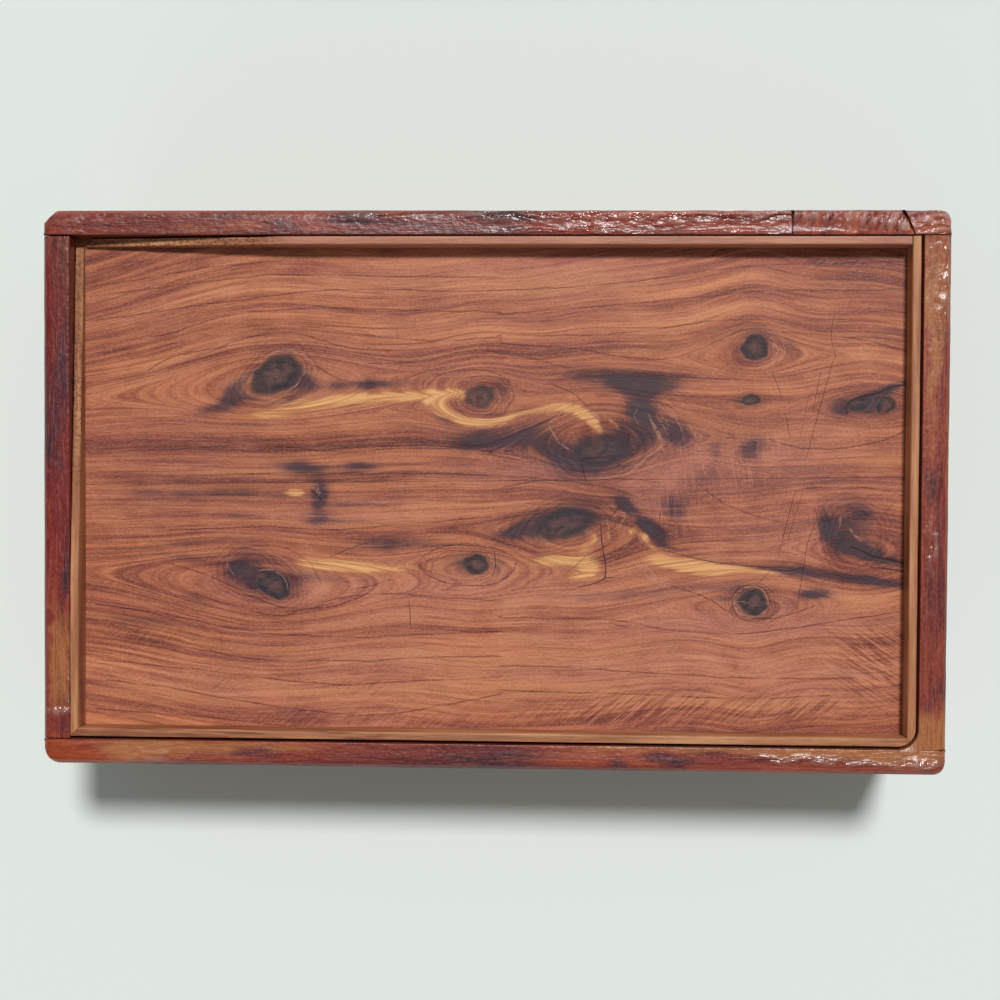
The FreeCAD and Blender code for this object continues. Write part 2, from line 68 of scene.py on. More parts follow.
RING_LEFT, RING_RIGHT, RING_REAR, RING_FRONT = -143.0, 142.2, 85.2, -84.55
STRIP, STRIP_TOP, RING_CORNER, FILL_ROUND = 3.0, 75.8, 6.0, 7.5
REAR_STRIP_START, REAR_STRIP_SLANT = -139.5, 1.5
RELIEF_LOW, REAR_RELIEF, LEFT_RELIEF = LID_TOP + 1.5, 68.0, 115.0
RAIL_REACH = INNER_Y - 0.3

PATCH_LEFT, PATCH_RIGHT, PATCH_SLANT, PATCH_DEPTH, PATCH_GAP = 99.7, 136.2, 4.0, 3.0, 0.12
DOWEL_RADIUS, DOWEL_BITE, DOWEL_HEIGHTS = 2.5, 18.0, (16.6, 35.925, 55.25)
PIN_RADIUS, PIN_LENGTH, PIN_TOP, PIN_PLACES = 1.95, 10.9, 73.0, (-69.5, -16.0, 16.0, 69.5)
PEG_RADIUS, PEG_LENGTH, PEG_FOOT, PEG_INSET = 1.5, 4.98, 71.0, 6.0

FINE = 0.5  # grid step along the rim
LONG_RUN, SHORT_RUN, BEND = 500, 340, 12  # stations of a long strip, a short one and a bend


# ---- numbers that look random but never change ----


def lattice(ix, iy, iz, seed):
    """A repeatable number from 0 to 1 for each lattice point, by mixing its integer bits."""
    mixed = (
        ix.astype(np.int64) * 73856093
        ^ iy.astype(np.int64) * 19349663
        ^ iz.astype(np.int64) * 83492791
        ^ (seed * 915488749 + 12345)
    )
    mixed = (mixed ^ (mixed >> 13)) * 1274126177 & 0xFFFFFFFF
    mixed = (mixed ^ (mixed >> 15)) * 2246822519 & 0xFFFFFFFF
    return ((mixed ^ (mixed >> 16)) & 0xFFFFFF) / float(0xFFFFFF)


def noise(x, y, z=0.0, seed=1, octaves=1):
    """Value noise from -1 to 1.

    Lattice numbers are joined by smoothstep weights 3t^2 - 2t^3 along each axis.  Every
    further octave has half the size and half the strength.
    """
    places = np.broadcast_arrays(*(np.asarray(v, float) for v in (x, y, z)))
    total, reach = 0.0, 0.0
    for octave in range(octaves):
        scale, strength = 2.0**octave, 0.5**octave
        cells = [np.floor(v * scale) for v in places]
        parts = [v * scale - c for v, c in zip(places, cells)]
        eases = [p * p * (3 - 2 * p) for p in parts]
        value = 0.0
        for steps in np.ndindex(2, 2, 2):
            weight = math.prod(soft if step else 1 - soft for step, soft in zip(steps, eases))
            corner = (c + step for c, step in zip(cells, steps))
            value = value + weight * lattice(*corner, seed + octave)
        total = total + strength * (2 * value - 1)
        reach += strength
    return total / reach


def ease(value, low, high):
    """Smoothstep of value from 0 at low to 1 at high; low may be above high."""
    t = np.clip((value - low) / (high - low), 0, 1)
    return t * t * (3 - 2 * t)


# ---- meshes ----


def outline(corners):
    """Points round a closed polygon of right angles, as arrays u and w.

    Each corner is (u, w, radius, step): its arc has the given radius, and the straight run
    that follows is cut into equal parts no longer than step.
    """
    count = len(corners)
    places = np.array([c[:2] for c in corners], float)
    before, after = (np.roll(places, shift, axis=0) - places for shift in (1, -1))
    before /= np.linalg.norm(before, axis=1)[:, None]
    after /= np.linalg.norm(after, axis=1)[:, None]
    points = []
    for k, (_, _, radius, step) in enumerate(corners):
        if radius > 0:
            centre = places[k] + (before[k] + after[k]) * radius
            turn = np.linspace(0, math.pi / 2, 5)[:, None]
            points += list(centre - radius * (np.cos(turn) * after[k] + np.sin(turn) * before[k]))
        else:
            points.append(places[k])
        following = (k + 1) % count
        end = places[following] + before[following] * corners[following][2]
        start = points[-1]
        parts = max(int(math.ceil(np.linalg.norm(end - start) / step)), 1)
        points += [start + (end - start) * j / parts for j in range(1, parts)]
    return np.array(points).T


def bar(inner, outer, low, high, radii, steps):
    """The outline of a rectangle, with a radius and a grid step for each corner.

    The corners run from the lower inner one by the outer face to the upper inner one.
    """
    places = ((inner, low), (outer, low), (outer, high), (inner, high))
    return outline([(*place, *more) for place, *more in zip(places, radii, steps)])


def skin(rings):
    """Vertices and faces over rings, an array (stations, points, 3) of closed sections.

    Quads join neighbouring sections, and one face closes each end.
    """
    here = np.arange(rings.shape[0] * rings.shape[1]).reshape(rings.shape[:2])
    a, b = here[:-1], here[1:]
    quads = np.stack([a, np.roll(a, -1, 1), np.roll(b, -1, 1), b], axis=-1).reshape(-1, 4)
    return rings.reshape(-1, 3), [*quads.tolist(), here[0][::-1].tolist(), here[-1].tolist()]


def carry(stations, section, place):
    """A section (u, w) carried along stations s; place(s, u, w) gives its x, y and z."""
    s, u, w = np.broadcast_arrays(np.reshape(stations, (-1, 1)), section[0], section[1])
    return skin(np.stack(place(s, u, w), axis=-1))


def join(shells):
    """Several (vertices, faces) as one."""
    vertices, faces, offset = [], [], 0
    for points, polygons in shells:
        vertices.append(points)
        faces += [[k + offset for k in p] for p in polygons]
        offset += len(points)
    return np.concatenate(vertices), faces


def make_mesh(name, shell, sharp=35.0):
    """A welded mesh with its faces outwards, from millimetres; sharp is the least crease."""
    vertices, faces = shell
    mesh = bpy.data.meshes.new(name)
    mesh.from_pydata((vertices * MM).tolist(), [], faces)
    work = bmesh.new()
    work.from_mesh(mesh)
    bmesh.ops.remove_doubles(work, verts=work.verts, dist=2e-6)
    bmesh.ops.recalc_face_normals(work, faces=work.faces)
    work.to_mesh(mesh)
    work.free()
    mesh.polygons.foreach_set("use_smooth", np.ones(len(mesh.polygons), bool))
    mesh.set_sharp_from_angle(angle=math.radians(sharp))
    return mesh


def vectors(items, name):
    """A vector property of all items, as an array (items, 3)."""
    flat = np.empty(len(items) * 3)
    items.foreach_get(name, flat)
    return flat.reshape(-1, 3)


def places_of(mesh):
    """The mesh's vertices in millimetres."""
    return vectors(mesh.vertices, "co") / MM


def press(mesh, depth):
    """Moves each vertex inwards along its normal by depth(points), never outwards."""
    points, normals = places_of(mesh), vectors(mesh.vertex_normals, "vector")
    amount = np.clip(depth(points), 0, None)[:, None]
    moved = np.clip(points - normals * amount, points.min(axis=0), points.max(axis=0))
    mesh.vertices.foreach_set("co", (moved * MM).ravel())
    mesh.update()


def paint(mesh, **fields):
    """Stores one number for each vertex under each name."""
    for name, values in fields.items():
        values = np.broadcast_to(values, len(mesh.vertices))
        layer = mesh.attributes.new(name, "FLOAT", "POINT")
        layer.data.foreach_set("value", np.ascontiguousarray(values, np.float32))


def stand(name, data):
    """A new object in the scene."""
    piece = bpy.data.objects.new(name, data)
    bpy.context.scene.collection.objects.link(piece)
    return piece


def add_piece(mesh, name, finish, body, slot, *nodes):
    """Puts a finished mesh in the scene in place of its CAD nodes."""
    mesh.materials.append(finish)
    piece = stand(name, mesh)
    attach(piece, body)
    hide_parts(*nodes)


# ---- shader arithmetic ----


def adds(operation, swapped=False):
    """A method that adds a Math node of one operation."""

    def method(self, *others):
        values = (*others, self) if swapped else (self, *others)
        return self.finish.node("ShaderNodeMath", {"operation": operation}, dict(enumerate(values)))

    return method


class Wire:
    """A number or colour on its way through a material, with arithmetic that adds nodes."""

    def __init__(self, finish, socket):
        self.finish, self.socket = finish, socket

    __add__ = __radd__ = adds("ADD")
    __mul__ = __rmul__ = adds("MULTIPLY")
    __sub__, __rsub__ = adds("SUBTRACT"), adds("SUBTRACT", swapped=True)
    __truediv__, __pow__ = adds("DIVIDE"), adds("POWER")
    fract, floor, sine, size = (adds(name) for name in ("FRACT", "FLOOR", "SINE", "ABSOLUTE"))

    def clip(self):
        """The value kept between 0 and 1."""
        settings = {"operation": "ADD", "use_clamp": True}
        return self.finish.node("ShaderNodeMath", settings, {0: self, 1: 0.0})

    def ease(self, low, high):
        """Smoothstep from 0 at low to 1 at high; low may be above high."""
        if low > high:
            return 1 - self.ease(high, low)
        settings = {"interpolation_type": "SMOOTHSTEP"}
        return self.finish.node(
            "ShaderNodeMapRange", settings, {"Value": self, "From Min": low, "From Max": high}
        )


class Finish:
    """One procedural material."""

    def __init__(self, name):
        self.material = bpy.data.materials.new(name)
        self.material.use_nodes = True
        self.tree = self.material.node_tree
        self.tree.nodes.clear()

    def node(self, kind, settings=None, inputs=None, output=0):
        """Adds one node: its settings first, then the values or links of its sockets."""
        node = self.tree.nodes.new(kind)
        for name, value in (settings or {}).items():
            if name == "stops":
                elements = node.color_ramp.elements
                while len(elements) < len(value):
                    elements.new(0.5)
                for element, (position, colour) in zip(elements, value):
                    element.position, element.color = position, (*colour, 1.0)
            else:
                setattr(node, name, value)
        for key, value in (inputs or {}).items():
            socket = node.inputs[key]
            if isinstance(value, Wire):
                self.tree.links.new(value.socket, socket)
            else:
                flat = socket.type == "RGBA" and len(value) == 3
                socket.default_value = (*value, 1.0) if flat else value
        return Wire(self, node.outputs[output]) if node.outputs else None

    def attribute(self, name):
        """A number painted on the vertices."""
        return self.node("ShaderNodeAttribute", {"attribute_name": name}, output="Fac")

    def place(self):
        """Object coordinates in millimetres."""
        where = self.node("ShaderNodeTexCoord", output="Object")
        return self.node("ShaderNodeVectorMath", {"operation": "SCALE"}, {0: where, "Scale": 1 / MM})

    def split(self, vector):
        """The three parts of a vector."""
        first = self.node("ShaderNodeSeparateXYZ", None, {0: vector})
        return [Wire(self, socket) for socket in first.socket.node.outputs]

    def noise(self, place, scale=1.0, detail=2.0, roughness=0.5):
        """Soft noise from 0 to 1 with its middle at 0.5; place is a vector or its three parts."""
        if isinstance(place, tuple):
            place = self.node("ShaderNodeCombineXYZ", None, dict(enumerate(place)))
        inputs = {"Vector": place, "Scale": scale, "Detail": detail, "Roughness": roughness}
        return self.node("ShaderNodeTexNoise", {"noise_dimensions": "3D"}, inputs, "Fac")

    def chance(self, value):
        """A repeatable number from 0 to 1 for each value."""
        return self.node("ShaderNodeTexWhiteNoise", {"noise_dimensions": "1D"}, {"W": value}, "Value")

    def mix(self, share, first, second, blend="MIX"):
        """Two colours mixed; share is how much of the second one shows."""
        settings = {"data_type": "RGBA", "blend_type": blend}
        return self.node("ShaderNodeMix", settings, {0: share, 6: first, 7: second}, 2)

    def coats(self, colour, *layers):
        """Layers (share, colour) over a colour, in order; a third part names their blend."""
        for share, *layer in layers:
            colour = self.mix(share, colour, *layer)
        return colour

    def ramp(self, value, *stops):
        """A colour ramp through (place, colour) stops."""
        return self.node("ShaderNodeValToRGB", {"stops": stops}, {0: value})

    def bump(self, height, strength, distance):
        """Bump from a height in millimetres."""
        inputs = {"Height": height, "Strength": strength, "Distance": distance * MM}
        return self.node("ShaderNodeBump", None, inputs)

    def surface(self, colour, roughness, normal=None, shine=0.5):
        """Ends the material in one Principled shader."""
        inputs = {"Base Color": colour, "Roughness": roughness, "Specular IOR Level": shine}
        if normal is not None:
            inputs["Normal"] = normal
        shader = self.node("ShaderNodeBsdfPrincipled", None, inputs)
        self.node("ShaderNodeOutputMaterial", None, {"Surface": shader})
        return self.material


def srgb(red, green, blue):
    """A screen colour, 0 to 255, as scene-linear light."""
    parts = (c / 255 for c in (red, green, blue))
    return tuple(c / 12.92 if c <= 0.04045 else ((c + 0.055) / 1.055) ** 2.4 for c in parts)


TINT = "MULTIPLY"




# ---- walls, rail and patch ----

STEP = 1e-3  # two stations this close become one where the section stays the same
THIN_WOOD = 0.3  # the least wood left behind a groove
HIGH, LOW = (69, 74), (3, 0.5)  # levels over which a wall's ends start to round off
NOTCH, SHEAR_REACH = (70, 72.9), 14  # levels of the patch's notch, and how far its slant fades


def run(first, last, step, breaks=()):
    """Stations from first to last, closer at both ends, and doubled at each break."""
    near = np.array([0, 0.06, 0.18, 0.36, 0.6, 0.9, 1.2, 1.6])
    parts = int(round((last - first - 4) / step))
    middle = np.linspace(first + 2, last - 2, parts + 1)
    doubled = [value for b in breaks for value in (b, b + STEP)]
    return np.unique(np.concatenate([first + near, last - near, middle, doubled]))


def between(x, low, high):
    """1 from low to high and 0 outside, changing between the two stations of a break."""
    return ((x > low + STEP / 2) & (x < high + STEP / 2)).astype(float)


def quarter(distance, radius):
    """How far a rounded corner falls back, r - sqrt(r^2 - (r - d)^2), at a distance from its end."""
    inside = np.clip(radius - distance, 0, radius)
    return radius - np.sqrt(np.clip(radius**2 - inside**2, 0, None))


def facet(distance, size):
    """How far a cut-off corner falls back, softened where it meets the straight face."""
    return 0.5 * (size - distance + np.sqrt((size - distance) ** 2 + 0.5)) - 0.03


def fall_back(x, side):
    """How far a long wall's outer face lies inside its plane at each x, in millimetres."""
    left, right = x + HALF_LENGTH, HALF_LENGTH - x
    if side > 0:
        return np.clip(facet(left, REAR_LEFT_FACET), 0, None) + quarter(right, REAR_RIGHT_ROUND)
    return quarter(left, FRONT_LEFT_ROUND) + quarter(right, FRONT_RIGHT_ROUND)


def wall_outline(thickness, height):
    """A wall's section: u from its inner to its outer face, w upwards, with its grooves."""
    corners = [
        (0, 0, 0, 3.0),
        (thickness, 0, FOOT_ROUND, 1.6),
        (thickness, height, RIM_ROUND, 0.45),
        (0, height, ARRIS, 1.0),
    ]
    for (low, high), step in ((LID_GROOVE, 3.0), (FLOOR_GROOVE, 2.0)):
        if high < height:
            corners += [(0, high, 0, 1.5), (GROOVE, high, 0, 2.5)]
            corners += [(GROOVE, low, 0, 1.5), (0, low, 0, step)]
    return outline(corners)


def in_groove(u, w, groove):
    """True for the section's points that lie in a groove."""
    low, high = groove
    return (w > low - 0.01) & (w < high + 0.01) & (u < GROOVE + 0.01) & (u > 0.01)


def long_wall(side):
    """A long wall as sections along x.

    The outer part of each section falls back at the corners, its top and foot sink round
    the ends by the same quarter circle, and the grooves' depth is 0 outside their run.  The
    rear wall's top is lowered where the patch lies, and sheared there as its slanted end.
    """

    def place(x, u, w):
        end = np.minimum(x + HALF_LENGTH, HALF_LENGTH - x)
        floor_part, lid_part = in_groove(u, w, FLOOR_GROOVE), in_groove(u, w, LID_GROOVE)
        depth = np.where(floor_part, between(x, -GROOVE_END, GROOVE_END), 1.0)
        depth = np.where(lid_part, between(x, -2 * HALF_LENGTH, GROOVE_END), depth)
        drop = fall_back(x, side)
        grooved = np.minimum(u * depth, LONG_WALL - drop - THIN_WOOD)
        y = INNER_Y + np.where(floor_part | lid_part, grooved, u * (1 - drop / LONG_WALL))
        z = w - quarter(end, RIM_ROUND) * ease(w, *HIGH) + quarter(end, FOOT_ROUND) * ease(w, *LOW)
        if side > 0:
            notch = between(x, PATCH_LEFT, PATCH_RIGHT) * ease(w, *NOTCH)
            z = np.where(notch > 0, np.minimum(z, HEIGHT - PATCH_DEPTH * notch), z)
            near = np.clip(1 - np.abs(x - PATCH_RIGHT) / SHEAR_REACH, 0, 1)
            slant = near * ease(w, HIGH[0], NOTCH[1])
            x = x + PATCH_SLANT * slant * (1 - np.clip(u / LONG_WALL, 0, 1))
        return x, y * side, z

    breaks = [-GROOVE_END, GROOVE_END] + ([PATCH_LEFT, PATCH_RIGHT] if side > 0 else [])
    stations = run(-HALF_LENGTH, HALF_LENGTH, FINE, breaks)
    return carry(stations, wall_outline(LONG_WALL, HEIGHT), place)


def end_wall(side, height):
    """An end wall as sections along y, between the long walls."""
    section = wall_outline(END_WALL, height)
    stations = run(-INNER_Y, INNER_Y, FINE)
    return carry(stations, section, lambda y, u, w: ((INNER_X + u) * side, y, w))


def end_rail():
    """The rail that stands on the lid's left end, as sections along y."""
    rounds, steps = (0, 0, RIM_ROUND, RAIL_ARRIS), (2.0, 1.0, 0.45, 0.8)
    section = bar(0, END_WALL, LID_TOP, HEIGHT, rounds, steps)
    stations = run(-RAIL_REACH, RAIL_REACH, FINE)
    return carry(stations, section, lambda y, u, w: (-(INNER_X + u), y, w))


def patch():
    """The let-in piece of the rear rim; its right end slants from the outer to the inner face."""
    rounds, steps = (0, 0, RIM_ROUND, ARRIS), (2.0, 1.0, 0.45, 1.0)
    section = bar(0, LONG_WALL, HEIGHT - PATCH_DEPTH, HEIGHT, rounds, steps)
    first = PATCH_LEFT + PATCH_GAP

    def place(share, u, w):
        last = PATCH_RIGHT + PATCH_SLANT * (1 - u / LONG_WALL) - PATCH_GAP
        return first + (last - first) * share, INNER_Y + u, w

    return carry(np.linspace(0, 1, 76), section, place)


def corner_fill():
    """The hollowed fill in the front right corner: a triangle with an inward arc, carried up.

    Its arc draws back from the centre at the top by a small inset, as a worn edge.
    """
    sunk = 0.8  # how far it reaches into the walls
    half = RING_CORNER / math.sqrt(2)
    back = math.sqrt(FILL_ROUND**2 - half**2) * math.sqrt(0.5)
    centre = np.array([INNER_X - RING_CORNER / 2 - back, -INNER_Y + RING_CORNER / 2 + back])
    spread = math.asin(half / FILL_ROUND)
    turn = np.linspace(-math.pi / 4 + spread, -math.pi / 4 - spread, 14)
    arc = FILL_ROUND * np.stack([np.cos(turn), np.sin(turn)], axis=-1)
    right, front = INNER_X + sunk, -INNER_Y - sunk
    legs = [(INNER_X - RING_CORNER, front), (right, front), (right, -INNER_Y + RING_CORNER)]
    away = np.concatenate([arc, np.array(legs) - centre])
    levels = np.array([*np.linspace(LID_GROOVE[1], HEIGHT - 0.4, 9), HEIGHT - 0.15, HEIGHT])
    inset = np.array([0] * 9 + [0.1, 0.35])[:, None, None]
    rings = centre + away * (1 + inset / np.linalg.norm(away, axis=1)[:, None])
    heights = np.broadcast_to(levels[:, None, None], (*rings.shape[:2], 1))
    return skin(np.concatenate([rings, heights], axis=-1))


# ---- strips, boards and dowels ----


def strip(outer, inner, top):
    """A strip on edge between an outer and an inner plan line, both (stations, 2).

    Its section is a unit square with a rounded inner arris, stretched to the strip's width
    and up to the top, one height or one for each station; so the arris is worn long.
    """
    a, w = bar(0, 1, 0, 1, (0, 0, 0.16, 0.06), (1.0, 0.12, 0.12, 0.12))
    place = outer[:, None] + (inner - outer)[:, None] * a[None, :, None]
    rise = np.broadcast_to(top - LID_TOP, len(outer))
    height = LID_TOP + rise[:, None] * w
    return skin(np.concatenate([place, height[..., None]], axis=-1))


def line(start, end, count):
    """Points from start to end, evenly spaced."""
    t = np.linspace(0, 1, count)[:, None]
    return np.array(start, float) * (1 - t) + np.array(end, float) * t


def strips():
    """The four strips round the lid's face, by name.

    The front and right ones meet in a mitre that is rounded outside.  The rear and left
    ones are cut down in long ramps towards the rear left corner.
    """
    left, right = RING_LEFT + STRIP, RING_RIGHT - STRIP
    rear, front = RING_REAR - STRIP, RING_FRONT + STRIP
    x, y = RING_RIGHT - RING_CORNER, RING_FRONT + RING_CORNER
    rear_start, rear_end = REAR_STRIP_START, right - 0.1

    def bend(first, last):
        t = np.linspace(math.radians(first), math.radians(last), BEND)
        return np.stack([x + RING_CORNER * np.cos(t), y + RING_CORNER * np.sin(t)], axis=-1)

    def ramp(distance, length):
        return np.minimum(STRIP_TOP, RELIEF_LOW + (STRIP_TOP - RELIEF_LOW) / length * distance)

    front_outer = [line((RING_LEFT, RING_FRONT), (x, RING_FRONT), LONG_RUN), bend(-90, -45)[1:]]
    front_inner = [line((left, front), (x, front), LONG_RUN), line((x, front), (right, front), BEND)[1:]]
    right_outer = [bend(-45, 0)[:-1], line((RING_RIGHT, y), (RING_RIGHT, RING_REAR), SHORT_RUN - 10)]
    right_inner = [line((right, front), (right, y), BEND)[:-1]]
    right_inner += [line((right, y), (right, RING_REAR), SHORT_RUN - 10)]
    rear_outer = line((rear_end, RING_REAR), (rear_start + REAR_STRIP_SLANT, RING_REAR), LONG_RUN)
    rear_inner = line((rear_end, rear), (rear_start, rear), LONG_RUN)
    left_outer = line((RING_LEFT, rear), (RING_LEFT, RING_FRONT + 0.05), SHORT_RUN)
    left_inner = line((left, rear), (left, front + 0.05), SHORT_RUN)
    return {
        "rear": strip(rear_outer, rear_inner, ramp(rear_inner[:, 0] - rear_start, REAR_RELIEF)),
        "front": strip(np.concatenate(front_outer), np.concatenate(front_inner), STRIP_TOP),
        "right": strip(np.concatenate(right_outer), np.concatenate(right_inner), STRIP_TOP),
        "left": strip(left_outer, left_inner, ramp(rear - left_outer[:, 1], LEFT_RELIEF)),
    }


def seam(x):
    """The y of the seam between the lid's boards."""
    return SEAM_LEFT + (SEAM_RIGHT - SEAM_LEFT) * (x + HALF_LENGTH) / (LID_RIGHT + HALF_LENGTH)


def lid_board(side):
    """A lid board as sections along x, from the seam to its edge in the groove."""
    rounds, steps = (BOARD_ARRIS,) * 3 + (SEAM_ARRIS,), (6.0, 1.0, 0.6, 1.0)
    section = bar(0, LID_SIDE, LID_LOW, LID_TOP, rounds, steps)

    def place(x, u, w):
        return x, seam(x) + (LID_SIDE * side - seam(x)) * u / LID_SIDE, w

    return carry(np.linspace(-HALF_LENGTH, LID_RIGHT, LONG_RUN), section, place)


def floor_board(side):
    """A floor board as sections along x."""
    rounds, steps = (BOARD_ARRIS,) * 4, (3.0, 1.0, 1.5, 1.0)
    section = bar(FLOOR_SEAM, FLOOR_SIDE, FLOOR_LOW, FLOOR_TOP, rounds, steps)
    return carry(np.linspace(-FLOOR_END, FLOOR_END, 200), section, lambda x, u, w: (x, u * side, w))


def turned(radius, length, rings=9, around=28):
    """A round pin along z from 0, with a chamfered foot and a slightly domed head.

    Gives closed rings as an array (stations, points, 3) of x, y, z.
    """
    dome = 0.12
    turn = np.linspace(0, 2 * math.pi, around, endpoint=False)
    head = np.linspace(1, 0.02, rings)
    radii = np.concatenate([[0.02, radius * 0.8, radius, radius], radius * head])[:, None]
    levels = np.concatenate([[0, 0, 0.5, length - dome], length - dome * head**2])[:, None]
    return np.stack([radii * np.cos(turn), radii * np.sin(turn), levels + 0 * turn], axis=-1)


def corner_dowels(side_x, side_y):
    """Three dowels into an end wall, their heads worn to the outside of the long wall."""
    length = LONG_WALL + DOWEL_BITE
    x, z, y = np.moveaxis(turned(DOWEL_RADIUS, length), -1, 0)
    x = (HALF_LENGTH - END_WALL / 2) * side_x + x
    y = np.minimum(HALF_WIDTH - length + y, HALF_WIDTH - 0.02 - fall_back(x, side_y)) * side_y
    return join(skin(np.stack([x, y, level + z], axis=-1)) for level in DOWEL_HEIGHTS)


def rail_pins():
    """The four pins through the lid boards into the end rail."""
    x, y, z = np.moveaxis(turned(PIN_RADIUS, PIN_LENGTH), -1, 0)
    x, z = -(HALF_LENGTH - END_WALL / 2) + x, PIN_TOP - z
    return join(skin(np.stack([x, middle + y, z], axis=-1)) for middle in PIN_PLACES)


def patch_peg():
    """The peg beside the patch's slanted end."""
    foot = (PATCH_RIGHT + PATCH_SLANT / 8, HALF_WIDTH - PEG_INSET, PEG_FOOT)
    return skin(turned(PEG_RADIUS, PEG_LENGTH) + foot)


# ---- places as the camera sees them ----
# A row of a table below starts with the number of a close-up and holds places (u, v) and
# lengths in it.  A close-up is (left, top, enlargement): its (u, v) is the point
# (left + u / enlargement, top + v / enlargement) of the camera's 1000 x 1000 view.

CAMERA_PLACE = (0.0234823, 0.0089077, 0.5785055)  # metres
CAMERA_TURN = (-1.35357, 2.32554, 0.33878)  # degrees
LENS, SENSOR, VIEW = 54.0, 36.0, 1000  # millimetres, millimetres and pixels
LID_PIXEL, RIM_PIXEL = 0.337, 0.333  # the view's pixel in millimetres, on the lid and the rim

LID_CLOSE_UPS = {
    1: (170, 330, 3.0), 2: (80, 240, 3.7), 3: (500, 240, 3.7), 4: (80, 580, 3.7), 5: (500, 580, 3.5),
    6: (640, 380, 3.8366), 7: (80, 330, 5.2267), 8: (370, 350, 5.2267), 9: (80, 480, 5.2267),
    10: (370, 480, 5.2267), 11: (640, 310, 5.6), 12: (640, 480, 5.6),
}
# Four runs of the long rims, stacked, so that three start above their own top edge, and the
# left and right rims, which are TURNED: u runs down the view and v to the left.
RIM_CLOSE_UPS = {
    13: (35, 203, 3.4), 14: (490, 203 - 206 / 3.4, 3.4), 15: (35, 730 - 412 / 3.4, 3.4),
    16: (490, 730 - 622 / 3.4, 3.4), 17: (97, 200, 2.7), 18: (965 + 178 / 2.7, 200, 2.7),
}
TURNED = (17, 18)


def seen(close_up, u, v, *lengths, digits=1):
    """x, y and lengths on the box, in millimetres, of what a close-up shows at (u, v).

    The view's point (px, py) lies on the ray from the camera along its turn of
    ((px - VIEW / 2) / f, (VIEW / 2 - py) / f, -1), where f = VIEW LENS / SENSOR.  The ray
    ends at the height of the lid or the rim.  Places are good to a tenth of a millimetre.
    """
    rim = close_up in RIM_CLOSE_UPS
    left, top, scale = RIM_CLOSE_UPS[close_up] if rim else LID_CLOSE_UPS[close_up]
    height, pixel = (HEIGHT, RIM_PIXEL) if rim else (LID_TOP, LID_PIXEL)
    if close_up in TURNED:
        u, v = -v, u
    across, down = left + u / scale - VIEW / 2, top + v / scale - VIEW / 2
    turn = Euler([math.radians(a) for a in CAMERA_TURN]).to_matrix()
    focal = VIEW * LENS / SENSOR
    ray = turn @ Vector((across / focal, -down / focal, -1))
    x, y, z = (c / MM for c in CAMERA_PLACE)
    reach = (height - z) / ray.z
    sizes = [round(length * pixel / scale, digits) for length in lengths]
    return [round(x + ray.x * reach, 1), round(y + ray.y * reach, 1), *sizes]


